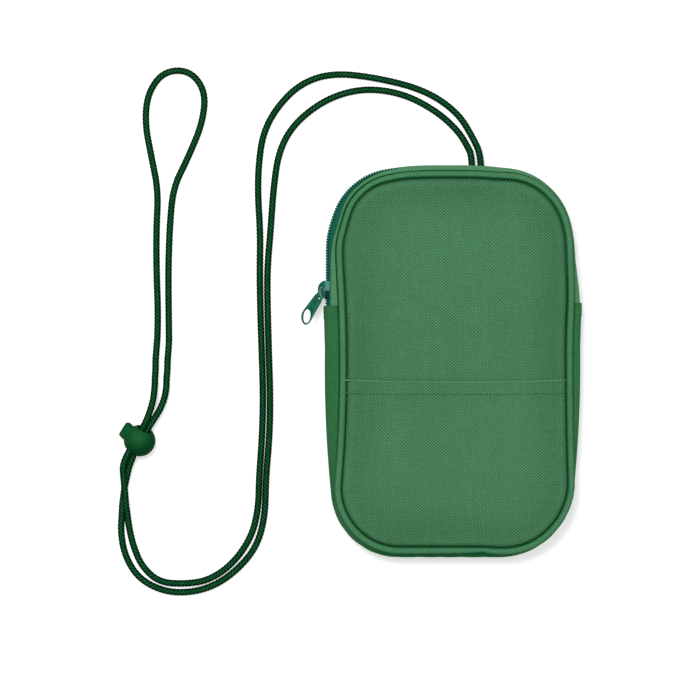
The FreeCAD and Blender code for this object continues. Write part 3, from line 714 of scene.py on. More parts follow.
def painted_metal(name, light, dark, band=None, rims=False):
    """Painted die casting: satin paint in small clouds; band paints light above a height and shade below it, and rims
    paints shade on the rims round a face.
    """
    paint = Paint(name, Specular_IOR_Level=0.04, Coat_Roughness=0.35)
    where = paint.place()
    grain = paint.noise(where, 1500.0, 3.0)
    cloud = paint.noise(where, 260.0)
    share = paint.ramp(cloud, 0.3, 0.75)
    if band:
        # Painted light on the part above the band, and painted shade below it
        _, north, _ = paint.split(where)
        share = paint.ramp(north + (cloud - 0.5) * 0.002, band[0] * MM, band[1] * MM) * 0.9 + share * 0.06
    if rims:
        # Painted shade: the blade is darker at its rims than on its face
        _, row, _ = paint.split(paint.place("UV"))
        speck = paint.noise(where, 2200.0, 1.0) * 0.9 + 0.2
        share = paint.ramp(row, 3.6 * MM, 5.0 * MM) * paint.ramp(row * -1.0, -7.0 * MM, -5.6 * MM) * speck
    colour = paint.mix(share, dark, light)
    return paint.finish(Base_Color=colour, Roughness=0.42 + grain * 0.12, Coat_Weight=cloud * 0.02,
                        Normal=paint.bump(grain, 0.02, 0.5))


def moulded_plastic(name, light, dark, around=None):
    """Matt moulded plastic with a spark-eroded skin; around paints a highlight round one place, with painted shade away
    from it.
    """
    paint = Paint(name, Specular_IOR_Level=0.03)
    where = paint.place()
    skin = paint.noise(where, 5000.0, 3.0)
    share = cloud = paint.noise(where, 180.0)
    if around:
        # Painted highlight round one place, fading to painted shade 8.5 mm from it
        x, y, _ = paint.split(where)
        far = ((x - around[0] * MM) ** 2 + (y - around[1] * MM) ** 2) ** 0.5
        share = 1 - paint.ramp(far, 0.5 * MM, 8.5 * MM) + (cloud - 0.5) * 0.2
    return paint.finish(Base_Color=paint.mix(share, dark, light), Roughness=0.55 + skin * 0.12,
                        Normal=paint.bump(skin, 0.03, 0.5))


def braid(name, light, dark, highlight=None):
    """Braided cord: plaits in four lanes that lean to and fro, with dark gaps that are painted shade, along its UV map;
    a third colour adds a painted highlight on top and painted shade down the sides.
    """
    paint = Paint(name, Specular_IOR_Level=0.04)
    u, v, _ = paint.split(paint.place("UV"))
    slant = ((v * 2.0 + 0.25).math("FRACT") - 0.5).math("ABSOLUTE") * 2.0
    rib = ((u * (1 / (PLAIT * MM)) + slant * SLANT) * math.pi).math("SINE").math("ABSOLUTE")
    lane = (v * (4 * math.pi)).math("COSINE").math("ABSOLUTE")
    filament = ((u * (1 / (0.30 * MM)) - slant * 3.0) * math.pi).math("SINE").math("ABSOLUTE")
    fibre = paint.noise(paint.place(), 2600.0)
    uneven = paint.noise(paint.place(), 420.0, 1.0)
    plaited = (rib ** 0.7) * (lane ** 0.5) + (fibre - 0.5) * 0.3 + (uneven - 0.5) * 0.3
    colour = paint.mix(paint.ramp(plaited, 0.25, 0.85), dark, light)
    if highlight:
        # Painted highlight on the tops of the plaits, and painted shade down the cord's sides
        up = (v * FULL).math("SINE")
        colour = paint.mix(paint.ramp(plaited * up, 0.85, 1.3), colour, highlight)
        colour = paint.scaled(colour, paint.ramp(up, 0.0, 0.75) * 0.55 + 0.45)
    return paint.finish(Base_Color=colour, Roughness=0.66 + fibre * 0.15,
                        Normal=paint.bump(filament * 0.4 + fibre * 0.4, 0.07, 0.7))


def drawn_wire(name, light, dark):
    paint = Paint(name, Metallic=1.0)
    streak = paint.noise(paint.place(), 800.0)
    return paint.finish(Base_Color=paint.mix(streak, dark, light), Roughness=0.25 + streak * 0.15)


# The panel's cloth: painted shade in its groove and towards its edges, and a painted lighter band beside its seam
PANEL_CLOTH = woven("panel_cloth", (92, 148, 108), (34, 88, 50), seam=(1.9, 2.4, 0.84, 0, 1))
# The side wall takes a darker copy of the pouch's cloth: painted shade on the sides, and painted shade under the piping
SHADED_SIDE_CLOTH = woven("side_cloth", (62, 128, 80), (28, 84, 46), "UV", seam=(0.9, 1.9, 1.0, 0.5, 0), lift=0.22)
# The strips beside the zip take a lighter copy of the pouch's cloth: painted light on slopes that face the lamp, and
# painted shade along their seam
LIT_STRIP_CLOTH = woven("strip_cloth", (100, 158, 116), (56, 112, 72), "UV", 0.12, seam=(1.05, 1.6, 1.0, 0.7, 0))
PIPING_CLOTH = woven("piping_cloth", (88, 144, 104), (44, 100, 62), "UV", 0.1, flanks=True)
TAPE = tape_cloth("zip_tape", (20, 104, 82), (6, 64, 50))
BINDING = tape_cloth("binding_tape", (48, 104, 66), (26, 66, 40))
COIL = nylon("zip_coil", (24, 130, 106), (0, 86, 68))
METAL = painted_metal("zip_metal", (40, 118, 92), (8, 84, 62))
# The puller's blade: painted shade at its rims
BLADE = painted_metal("blade_paint", (58, 126, 104), (0, 84, 60), rims=True)
# The bridge's oval rims take a lighter copy of the slider's paint: a painted highlight
LIT_RIM = painted_metal("rim_paint", (112, 164, 146), (66, 132, 112))
# The slider's paint: painted light on its upper end, and painted shade below it
CASTING = painted_metal("slider_paint", (84, 142, 124), (0, 40, 30), band=(34.0, 34.5))
# The ball: a painted highlight near its top
BALL = moulded_plastic("ball_plastic", (28, 91, 48), (0, 62, 28), around=(-152.6, -36.6))
PLASTIC = moulded_plastic("lock_plastic", (16, 94, 46), (4, 66, 30))
CORD = braid("cord", (6, 80, 40), (0, 24, 8), CORD_HIGHLIGHT)
WIRE = drawn_wire("spring_wire", (196, 198, 200), (150, 152, 155))
# The pocket's rolled lip takes a lighter copy of the pouch's cloth: a painted highlight along the fold
LIT_LIP_CLOTH = woven("lip_cloth", (98, 155, 115), (62, 114, 78))
THREAD = braid("thread", (88, 146, 104), (50, 104, 66))


# Cloth pieces

PANEL_INSETS = [1.5, 1.75, 2.0, 2.3, 2.7, 3.2, 3.8, 4.6, 5.6, 6.8, 8.4, 10.4, 13, 16, 19.5, 23, 26.5]
PANEL_SHARES = [0.12, 0.26, 0.42, 0.58, 0.74, 0.88, 0.97]
SPINE_END = 50
MOUTH_MIDDLE, MOUTH_HALF = 1.3, 53
MOUTH_SAG, MOUTH_STAND, MOUTH_REACH = 1.0, 0.25, 9.0
LIP_RADIUS = 0.5
PANEL_STEP, PIPING_STEP, WALL_STEP = 1.6, 0.8, 1.2
COIL_PITCH, COIL_WIRE, COIL_STEPS = 1.35, 0.42, 10


def swells(size, count, seed):
    """A fixed set of random waves, with lengths near the size."""
    rng = np.random.default_rng(seed)
    return [(rng.uniform(0, FULL), FULL / (size * rng.uniform(0.7, 1.6)), rng.uniform(0, 6.28))
            for _ in range(count)]


SLACK = swells(46.0, 9, 3)
PUCKER = swells(5.0, 12, 5)


def waves(flat, table):
    """Soft swells of about one unit at some places of the plane."""
    total = np.zeros(len(flat))
    for angle, wave, phase in table:
        total += np.sin(wave * (flat[:, 0] * math.cos(angle) + flat[:, 1] * math.sin(angle)) + phase)
    return total / math.sqrt(len(table) / 2)


def rings(levels, places):
    """Rows of points for levels of an outline, its inset and its z."""
    rows = []
    for shape, inset, z in levels:
        points, normals = trace(shape, places)
        rows.append(np.column_stack([points - normals * inset, np.full(len(places), z)]))
    return np.array(rows)


def cloth_uv(points):
    """Cloth coordinates in millimetres: along the middle row, and across the rows at each column."""
    return paired(lengths(points[len(points) // 2]), np.transpose([lengths(row) for row in points.swapaxes(0, 1)]))


def crown(inset):
    """Height of the padded front above its seam, some way in from the edge."""
    padding = 2.0 * (1 - np.exp(-np.maximum(inset - 1.8, 0) / 6.0))
    return 0.35 + padding - 1.9 * np.exp(-np.maximum(inset - 1.9, 0) / 0.8)


def front_height(lift):
    """The padded front: its crown, its broad slackness and the pull of the seam."""
    def height(inset, flat):
        slack = waves(flat, SLACK) * 0.22 * min(1, max(0, inset - 3) / 12)
        pull = waves(flat, PUCKER) * 0.07 * bell(inset, 3.2, 2.6)
        return FRONT_Z + crown(inset) + lift + slack + pull
    return height


def back_height(inset, flat):
    """The back, flat where it lies and lifted to its seam."""
    return np.full(len(flat), 0.02 + 1.3 * math.exp(-max(inset - 2.0, 0) / 2.2))


def panel_rows(shape, places, height):
    """Rows from a panel's edge to its middle; height gives z from the inset and the place."""
    outline, normals = trace(shape, places)
    last = outline - normals * PANEL_INSETS[-1]
    spine = np.column_stack([np.full(len(places), shape.lean), np.clip(last[:, 1], -SPINE_END, SPINE_END)])
    rows = [(inset, outline - normals * inset) for inset in PANEL_INSETS]
    rows += [(PANEL_INSETS[-1] + 20 * share, last + (spine - last) * share) for share in PANEL_SHARES]
    return np.array([np.column_stack([flat, height(inset, flat)]) for inset, flat in rows])


def panel(name, shape, height):
    """A whole panel: rows from its edge inwards, closed along its middle."""
    points = panel_rows(shape, places_between(0, 9, PANEL_STEP), height)
    uv = cloth_uv(points)
    uv[:, :, 1] = np.array(PANEL_INSETS + [PANEL_INSETS[-1]] * len(PANEL_SHARES))[:, None]
    piece = weave_grid(name, points, uv, wrap=True)
    edit_rim(piece)
    leave()
    middle = np.abs(coordinates(piece)[:, 0] - shape.lean) < 3.0
    for edge in piece.data.edges:
        edge.select = edge.select and all(middle[v] for v in edge.vertices)
    bpy.ops.object.mode_set(mode="EDIT")
    bpy.ops.mesh.edge_face_add()
    bpy.ops.mesh.quads_convert_to_tris()
    leave()
    return piece


def panel_cloth(piece, thickness, way, *nodes):
    """A panel with its thickness, its finish and the nodes that it stands for."""
    thicken(piece, thickness, way)
    smooth(piece)
    return dress(piece, PANEL_CLOTH, "pouch", "pouch_cloth", *nodes)


def cut_at(piece, y, keep_below=True):
    """Cut a sheet along a height and keep one side of the cut."""
    edit(piece)
    bpy.ops.mesh.bisect(plane_co=(0, y * MM, 0), plane_no=(0, 1, 0), clear_outer=keep_below,
                        clear_inner=not keep_below)
    leave()


def sag_mouth(points):
    """The pocket's mouth dips a little in its middle and stands a little off the panel."""
    near = np.exp(-np.maximum(POCKET_Y - points[:, 1], 0) / MOUTH_REACH)
    span = 1 - np.clip(np.abs(points[:, 0] - MOUTH_MIDDLE) / MOUTH_HALF, 0, 1) ** 2
    return points + np.outer(span * near, (0, -MOUTH_SAG, MOUTH_STAND))


def pocket_line(y, lift):
    """Points on the pocket across the whole panel at one height, from left to right."""
    x = np.linspace(-54.0, 54.5, 160)
    flat = np.column_stack([x, np.full(len(x), y)])
    height = front_height(lift)
    z = [height(inset, place[None])[0] for inset, place in zip(np.minimum(x + 56.3, 56.9 - x), flat)]
    return sag_mouth(np.column_stack([flat, z]))


def pocket():
    """The patch pocket: one layer, a folded hem that is twice as thick, and a rolled lip at its mouth."""
    for name, lift, thickness, nodes in (("pocket_cloth", 0.95, 0.7, ["front_pocket"]), ("pocket_hem", 1.3, 0.9, [])):
        piece = panel(name, FRONT_SEAM, front_height(lift))
        cut_at(piece, POCKET_Y if nodes else POCKET_Y - 0.3)
        if not nodes:
            cut_at(piece, POCKET_Y - HEM, keep_below=False)
        move_points(piece, sag_mouth(coordinates(piece)))
        panel_cloth(piece, thickness, "up", *nodes)
    roll = tube("pocket_lip", pocket_line(POCKET_Y - 0.1, 1.15), 10, lambda run, angle: LIP_RADIUS)
    # The lip's lighter cloth is a painted highlight along the fold
    dress(roll, LIT_LIP_CLOTH, "pouch", "pouch_cloth")
    stitch_row("hem_stitches", pocket_line(POCKET_Y - HEM, 1.34))


STITCH, STITCH_GAP, STITCH_RADIUS, STITCH_SIDES = 1.9, 0.5, 0.2, 6
STITCH_RISE = (-0.18, 0.08, 0.14, 0.08, -0.18)
STITCH_TAPER = np.array([0.55, 1, 1, 1, 0.55])


def stitch_row(name, line):
    """A row of sewn stitches that lie end to end on a line, their ends sunk in the cloth."""
    run = lengths(line)
    side = np.arange(STITCH_SIDES)
    strip = np.stack([side, np.roll(side, -1), np.roll(side, -1) + STITCH_SIDES, side + STITCH_SIDES], axis=1)
    last = (len(STITCH_RISE) - 1) * STITCH_SIDES
    skin = [*np.concatenate([strip + low for low in range(0, last, STITCH_SIDES)]), side[::-1], side + last]
    vertices, faces = [], []
    for n in range(int(run[-1] / (STITCH + STITCH_GAP))):
        part = at_runs(line, run, n * (STITCH + STITCH_GAP) + np.linspace(0, STITCH, len(STITCH_RISE)))
        part[:, 2] += STITCH_RISE
        points, _ = tube_points(part, STITCH_SIDES, lambda run, angle: STITCH_RADIUS * STITCH_TAPER[:, None])
        faces += [(face + len(vertices)).tolist() for face in skin]
        vertices += (points[:, :-1] * MM).reshape(-1, 3).tolist()
    mesh = bpy.data.meshes.new(name)
    mesh.from_pydata(vertices, [], faces)
    mesh.uv_layers.new(name="UVMap")
    piece = placed(name, mesh)
    outwards(piece)
    smooth(piece, 180)
    dress(piece, THREAD, "pouch", "pouch_cloth")


def piping(sign, z):
    """Cloth wrapped round a filler cord: slightly puckered, and joined at the bottom."""
    face, shape, _, _ = FACES[sign]
    outline, normals = trace(shape, places_between(0, 9, PIPING_STEP))
    pinch = bell(outline[:, 0], -46, 20) * bell(outline[:, 1], 76, 20)
    outline -= normals * (0.2 * climb(outline[:, 1], -92, 10) + 0.3 * pinch)[:, None]
    run = lengths(outline)
    total = run[-1]
    angle = np.linspace(0, FULL, PIPING_SIDES + 1)
    around = FULL * run / total
    ripple = 0.045 * (np.sin(around * round(total / 5.1)) + np.sin(around * round(total / 3.7) + 1))
    step = 0.10 * bell(np.minimum(run, total - run), 0.6, 0.5)
    fold = 0.4 * bell(outline[:, 0], 13.7, 1.6) + 0.55 * bell(outline[:, 0], 12.5, 8.5)
    fold = fold * (outline[:, 1] < -80) * (sign > 0)
    reach = (PIPING + ripple - step - 0.3 * pinch)[:, None] - fold[:, None] * np.maximum(np.cos(angle), 0)
    flat = outline[:, None, :] + normals[:, None, :] * (reach * np.cos(angle))[:, :, None]
    points = np.concatenate([flat, (z + reach * np.sin(angle))[:, :, None]], axis=2)
    piece = closed_grid(face + "_piping_cloth", points, paired(run[:, None], angle * PIPING))
    dress(piece, PIPING_CLOTH, "pouch", "piping_cloth", face + "_piping")


def wall(name, points, thickness, material, slot, *nodes, edge=None, holes=False):
    """A sheet of the side wall, thick on its inner side; edge is its bevel, and holes are for the cord."""
    piece = weave_grid(name, points, cloth_uv(points))
    thicken(piece, thickness, "side", even=True)
    if edge:
        bevel(piece, *edge)
    if holes:
        cut(piece, [rod((x, 93.5, 6.1), (1.7, 1.7), 14, (QUARTER, 0, 0), 24) for x in CORD_HOLES])
    smooth(piece)
    dress(piece, material, "pouch", slot, *nodes)


def side_levels(count=22, fullness=3.2):
    """Levels of the side wall, from the front seam down to the back one, bulging between them."""
    levels = []
    for step in range(count + 1):
        share = step / count
        edge = widened(FRONT_SEAM if share < 0.5 else BACK_SEAM, WALL_OUTSET)
        full = 1 - abs(2 * share - 1) ** fullness
        levels.append((mixed(edge, SIDE_WALL, full), 0, WALL_TOP + (WALL_FOOT - WALL_TOP) * share))
    return levels


def upper_places(left_y, right_y, step):
    """Places round the upper half, from the left end of the zip to its right end."""
    return places_between(place_at(SIDE_WALL, -1, left_y), place_at(SIDE_WALL, 1, right_y), step)


def level_ends(points, first_y, last_y):
    """Bring the end columns of a wall to their heights, and spread the change over the next few."""
    fade = 1 - np.arange(10) / 10
    points[:, :10, 1] += (first_y - points[:, 0, 1])[:, None] * fade
    points[:, -10:, 1] += (last_y - points[:, -1, 1])[:, None] * fade[::-1]
    return points


def pushed_out(points, far):
    """Move a wall's points away from the middle of the pouch."""
    points[:, :, :2] += unit(points[:, :, :2]) * far


def bulge(points):
    """0 at a wall's two seams and 1 between them, a row for each level."""
    return np.sin(np.linspace(0, math.pi, len(points)))[:, None]


def creased(points, places):
    """Shallow upright creases where the side wall turns its corners."""
    run = lengths(points[len(points) // 2])
    ripple = np.zeros(len(run))
    for place in (7.5, 1.5, 8.4, 0.6):
        away = run - run[np.argmin(np.abs(places - place))]
        ripple += 0.16 * np.sin(away / 3.4 * 1.9 + place) * bell(away, 0, 16)
    pushed_out(points, (np.minimum(ripple, 0.02) * bulge(points))[:, :, None])


def base_gusset():
    """The plain side wall round the lower half, creased at its corners, with folded upper ends."""
    right, left = place_at(SIDE_WALL, 1, GUSSET_RIGHT_Y), place_at(SIDE_WALL, -1, GUSSET_LEFT_Y)
    places = np.concatenate([places_between(right, 9, WALL_STEP)[:-1], places_between(0, left, WALL_STEP)])
    points = level_ends(rings(side_levels(), places), GUSSET_RIGHT_Y, GUSSET_LEFT_Y)
    creased(points, places)
    points[:, :, 0] += np.where(points[:, :, 0] > 0, 0.8, -1.1) * climb(points[:, :, 1], 6, 20) * bulge(points)
    wall("gusset_cloth", points, 0.8, SHADED_SIDE_CLOTH, "pouch_cloth", "base_gusset")
    for name, columns in (("gusset_fold_right", slice(0, 6)), ("gusset_fold_left", slice(-6, None))):
        part = points[:, columns].copy()
        pushed_out(part, 0.22)
        wall(name, part, 0.5, SHADED_SIDE_CLOTH, "pouch_cloth", edge=(0.18, 50, 2))


def zip_strip(sign):
    """The cloth strip beside the zip: folded at the slot, sewn into the seam."""
    face, seam, slot, seam_z = FACES[sign]
    slot_z = ZIP_Z + sign * 4.55
    left_y, right_y = GUSSET_LEFT_Y + 0.1, GUSSET_RIGHT_Y + 0.1
    levels = [(mixed(slot, widened(seam, WALL_OUTSET), share), -0.35 * math.sin(math.pi * share),
               slot_z + (seam_z - slot_z) * share) for share in np.linspace(1, 0, 8)]
    points = level_ends(rings(levels, upper_places(left_y, right_y, WALL_STEP)), left_y, right_y)
    near_end = np.clip((48 - points[:, :, 1]) / 20, 0, 1) * (points[:, :, 0] > 0)
    points[:, :, 0] += 1.3 * np.linspace(0, 1, len(points))[:, None] * near_end
    wall(face + "_strip_cloth", points, 0.8, LIT_STRIP_CLOTH, "strip_cloth", face + "_zip_strip",
         edge=(0.25, 50), holes=sign < 0)


def zip_tape(sign):
    """A zip tape: flat beside the coil, then behind its strip."""
    face, _, slot, _ = FACES[sign]
    levels = [(ZIP_LINE, 0, 0.47), (ZIP_LINE, 0, 1.4), (ZIP_LINE, 0, 2.6), (ZIP_LINE, 0.02, 3.7),
              (mixed(ZIP_LINE, slot, 0.7), 0.75, 4.3), (slot, 1.2, 4.9)]
    levels = [(shape, inset, ZIP_Z + sign * far) for shape, inset, far in levels]
    wall(face + "_tape", rings(levels, upper_places(19.5, 19.5, 1.5)), 0.45, TAPE, "zip_tape", face + "_zip_tape",
         holes=sign < 0)


def zip_coil(sign):
    """One side of the nylon coil: a flattened helix sewn along its tape."""
    outline, normals = trace(ZIP_LINE, upper_places(25.4, 30.6, 0.5))
    run = lengths(outline)
    turns = int(run[-1] / COIL_PITCH)
    theta = np.linspace(0, FULL * turns, turns * COIL_STEPS + 1)
    base, out = (at_runs(rows, run, theta / FULL * COIL_PITCH) for rows in (outline, normals))
    line = np.column_stack([base + out * (0.70 + 0.58 * np.sin(theta))[:, None],
                            ZIP_Z + sign * (1.30 - 0.56 * np.cos(theta))])
    away = np.column_stack([out, np.zeros(len(out))])
    piece = tube(FACES[sign][0] + "_coil", line, 6, lambda run, angle: COIL_WIRE, away)
    dress(piece, COIL, "pouch", "zip_coil", FACES[sign][0] + "_zip_coil")


# Hard pieces

LOCK = (-151.9, -38.7, 7.7)
LOCK_ANGLE = math.radians(58.0)
BALL_RADIUS = 7.7
STRAND_SHIFT = 0.8
PIVOT = (-63.7, 32.7, 12.7)
PULLER_ANGLE = math.radians(239.3)


def metres(place):
    return [c * MM for c in place]


def added(operator, place, **settings):
    """A new primitive at a place given in millimetres."""
    deselect()
    operator(location=metres(place), **settings)
    return bpy.context.object


def joined(piece, others, operation="UNION"):
    """Other shapes joined to a piece, or cut from it."""
    for other in others:
        finish_with(piece, "BOOLEAN", object=other, operation=operation, solver="EXACT")
        bpy.data.objects.remove(other)


def cut(piece, others):
    joined(piece, others, "DIFFERENCE")


def rod(place, size, depth, turn=(0, 0, 0), sides=64):
    """A round or oval rod, with its place and its two half widths in millimetres."""
    return added(bpy.ops.mesh.primitive_cylinder_add, place, vertices=sides, radius=MM, depth=depth * MM,
                 rotation=turn, scale=(*size, 1))


def block(place, size, turn=(0, 0, 0)):
    """A box, with its place and its sides in millimetres."""
    return added(bpy.ops.mesh.primitive_cube_add, place, size=1, rotation=turn, scale=metres(size))


def oval_ring(place, half, wire, turn):
    """A ring of round wire bent to an oval."""
    ring = added(bpy.ops.mesh.primitive_torus_add, place, major_segments=64, minor_segments=12, major_radius=MM,
                 minor_radius=wire * MM, rotation=(0, 0, turn))
    points = coordinates(ring)
    far = np.hypot(points[:, 0], points[:, 1])
    flat = points[:, :2] / far[:, None]
    points[:, :2] = flat * half + flat * (far - 1)[:, None]
    move_points(ring, points)
    return ring


def settled(piece, name, degrees=40):
    """A hard piece gets its name, its place goes into its mesh, and it is shaded smooth."""
    piece.name = name
    pick(piece)
    bpy.ops.object.transform_apply(location=True, rotation=True, scale=True)
    smooth(piece, degrees)
    return piece


def eased(node, name, width, reshape, extra=None):
    """A rigid node's shape, moved a little by reshape, with its edges eased, as cast or moulded."""
    source = frame["nodes"][node]
    piece = source.copy()
    piece.data = source.data.copy()
    piece.parent = None
    for key in list(piece.keys()):
        del piece[key]
    piece.name = name
    bpy.context.scene.collection.objects.link(piece)
    edit(piece)
    bpy.ops.mesh.remove_doubles(threshold=1e-6)
    bpy.ops.mesh.dissolve_limited(angle_limit=math.radians(2))
    leave()
    move_points(piece, reshape(coordinates(piece)))
    if extra:
        joined(piece, [extra()])
    bevel(piece, width, 35)
    smooth(piece)
    return piece


def slimmer(points):
    """The slider's outer plate lies closer on the coil."""
    x, high = points[:, 0], points[:, 2] - ZIP_Z
    points[:, 0] = np.where(x < -61.65, -61.6 + (x + 61.7) * 0.36, np.where(x < -60.1, x + 0.15, x))
    points[:, 2] += np.where(np.abs(high) > 3, np.sign(high) * 0.45, 0)
    return points


def slider_casting():
    """The slider's two plates and neck, with a small lip at its upper outer corner."""
    piece = eased("slider_body", "slider_casting", 0.2, slimmer, lambda: block((-60.55, 36.45, 16.55), (2.1, 4.5, 0.7)))
    dress(piece, CASTING, "slider", "zip_metal", "slider_body")


def slider_bridge():
    """The arch that the puller's eye hangs in: a core with a window, two round cheeks and an oval rim."""
    bridge = rod((PIVOT[0] + 0.4, PIVOT[1], ZIP_Z), (2.2, 2.6), 2.0)
    joined(bridge, [rod((-60.9, 34.7, ZIP_Z + side), (4.5, 4.55), 0.42) for side in (-0.92, 0.92)])
    cut(bridge, [block((-59.9, 34.0, ZIP_Z), (4, 14, 5)),
                 rod((PIVOT[0] - 0.05, PIVOT[1], ZIP_Z), (0.7, 0.95), 6, sides=40)])
    settled(bridge, "slider_bridge")
    bevel(bridge, 0.16, 40)
    smooth(bridge)
    dress(bridge, METAL, "slider", "zip_metal", "slider_cap")
    for sign in (1, -1):
        rim = oval_ring((-63.1, 33.1, ZIP_Z + sign * 2.2), (1.1, 2.72), 0.34, math.radians(8))
        settled(rim, "bridge_" + FACES[sign][0] + "_rim", 180)
        dress(rim, LIT_RIM, "slider", "zip_metal")


def puller_place(u, w, height):
    """Places on the puller: along it from the pivot, outwards across it, and up."""
    c, s = math.cos(PULLER_ANGLE), math.sin(PULLER_ANGLE)
    return np.stack([PIVOT[0] + c * u + s * w, PIVOT[1] + s * u - c * w, PIVOT[2] + height + 0 * u], axis=-1)


BLADE_SIDES = [
    (2.47, 1.42), (1.75, 2.26), (4.0, 2.56), (8.24, 3.03), (11.4, 3.35), (12.8, 3.3), (13.9, 3.0), (14.86, 2.5),
    (15.9, 1.72), (16.57, 0.91), (16.98, 0.0), (17.05, -0.84), (16.74, -1.55), (16.16, -2.06), (15.16, -2.42),
    (13.98, -2.51), (12.3, -2.43), (9.6, -2.28), (4.0, -2.22), (2.7, -2.12), (2.05, -1.98), (2.47, -1.42),
    (2.75, -0.75), (2.85, 0), (2.75, 0.75), (2.47, 1.42)]
BLADE_SECTION = [
    (0.0, -0.42), (0.0, 0.42), (0.07, 0.55), (0.15, 0.55), (0.24, 0.36), (0.80, 0.36), (0.88, 0.55), (0.95, 0.55),
    (1.0, 0.42), (1.0, -0.42), (0.93, -0.5), (0.07, -0.5), (0.0, -0.42)]
HOLE_MIDDLE, HOLE_LONG, HOLE_SHORT = np.array([12.94, 0.31]), 3.35, 1.65
HOLE_WAYS = np.array([0.923, -0.386]), np.array([0.386, 0.923])
CHEEK_STATIONS = [
    (-1.5, -0.55, 0.55), (-1.2, -1.05, 1.0), (-0.7, -1.45, 1.4), (0, -1.6, 1.65), (0.8, -1.7, 1.95),
    (1.75, -1.85, 2.2), (2.6, -2.05, 2.36), (4.0, -2.18, 2.5), (5.5, -2.2, 2.66), (6.4, -2.2, 2.76),
    (7.3, -2.18, 2.84)]


def puller_blade():
    """The flat blade from the eye to the rounded tip, with raised rims along its edge and round its oval hole."""
    outer = even(np.array(BLADE_SIDES), 0.3)
    outer[-1] = outer[0]
    away = outer - HOLE_MIDDLE
    angle = np.arctan2(away @ HOLE_WAYS[1] / HOLE_SHORT, away @ HOLE_WAYS[0] / HOLE_LONG)[:, None]
    hole = HOLE_MIDDLE + HOLE_LONG * np.cos(angle) * HOLE_WAYS[0] + HOLE_SHORT * np.sin(angle) * HOLE_WAYS[1]
    points = np.array([puller_place(*(hole + (outer - hole) * share).T, height) for share, height in BLADE_SECTION])
    uv = paired(lengths(outer), np.arange(len(BLADE_SECTION))[:, None])
    piece = closed_grid("puller_blade", points, uv, 50)
    dress(piece, BLADE, "puller", "zip_metal", "puller")


def puller_eye():
    """The eye: a bar through the bridge, and a cheek on each side of it that slopes down to the blade."""
    bar = settled(block(PIVOT, (0.9, 0.9, 3.0), (0, 0, PULLER_ANGLE)), "puller_bar")
    dress(bar, METAL, "puller", "zip_metal")
    spread = np.linspace(0, 1, 9)
    rows = []
    for u, inner, outer in CHEEK_STATIONS:
        height = 1.75 - 1.4 * min(1, max(0, (u - 5.5) / 1.7)) - 0.12 * np.abs(2 * spread - 1) ** 6
        rows.append(puller_place(np.full(9, float(u)), inner + (outer - inner) * spread, height))
    points = np.array(rows)
    window = puller_place(np.float64(2.45), np.float64(-0.45), 0.0)
    for sign, way in ((1, "up"), (-1, "down")):
        part = points.copy()
        part[:, :, 2] = PIVOT[2] + sign * (part[:, :, 2] - PIVOT[2])
        cheek = weave_grid("puller_cheek_" + FACES[sign][0], part, cloth_uv(part))
        thicken(cheek, 0.42, way)
        cut(cheek, [rod(window, (0.75, 0.42), 8, (0, 0, PULLER_ANGLE), 32)])
        smooth(cheek)
        dress(cheek, METAL, "puller", "zip_metal")


def lock_place(along, across, height):
    """A place in the ball lock: along the cord, across it towards the button, and up."""
    c, s = math.cos(LOCK_ANGLE), math.sin(LOCK_ANGLE)
    return (LOCK[0] + c * along - s * across, LOCK[1] + s * along + c * across, LOCK[2] + height)


def domed(points):
    """The button's outer end is a little fuller than the plunger's, and domed."""
    c, s = math.cos(LOCK_ANGLE), math.sin(LOCK_ANGLE)
    x, y = points[:, 0] - LOCK[0], points[:, 1] - LOCK[1]
    along, across = x * c + y * s, y * c - x * s
    out = climb(across, 4.5, 4.0)
    across = across + np.where(across > 9.0, 0.85, 0)
    return np.column_stack(lock_place(along * (1 + 0.05 * out) + 0.75 * out, across, points[:, 2] - LOCK[2]))


def lock_button():
    piece = eased("lock_plunger", "lock_button", 0.3, domed)
    return dress(piece, PLASTIC, "lock_button", "lock_plastic", "lock_plunger")


def lock_ball():
    """The ball: a smooth sphere with the button's bore, a passage for the two strands and its wide upper mouth."""
    ball = added(bpy.ops.mesh.primitive_uv_sphere_add, LOCK, segments=64, ring_count=32, radius=BALL_RADIUS * MM,
                 rotation=(0, 0, LOCK_ANGLE))
    tilt = math.radians(30)
    mouth = lock_place(9.5 * math.cos(tilt), STRAND_SHIFT, 9.5 * math.sin(tilt))
    cut(ball, [rod(lock_place(0, STRAND_SHIFT, 0.3), (3.1, 3.5), 40, (0, QUARTER, LOCK_ANGLE), 48),
               rod(lock_place(0.4, 4.0, 0), (4.5, 4.3), 20, (0, QUARTER, LOCK_ANGLE + QUARTER)),
               rod(mouth, (2.9, 3.5), 14, (0, QUARTER - tilt, LOCK_ANGLE), 48)])
    settled(ball, "lock_ball")
    bevel(ball, 0.3, 40)
    smooth(ball)
    return dress(ball, BALL, "cord_lock", "lock_plastic", "lock_barrel")


# Cord

CORD_RADIUS = 1.5
CORD_STEP = 0.28
CORD_HOLES = (9.7, 14.1)
STRAND_STEP = 3.3 / math.sqrt(2) / 2
LOOP_TURN = (-134, 142)
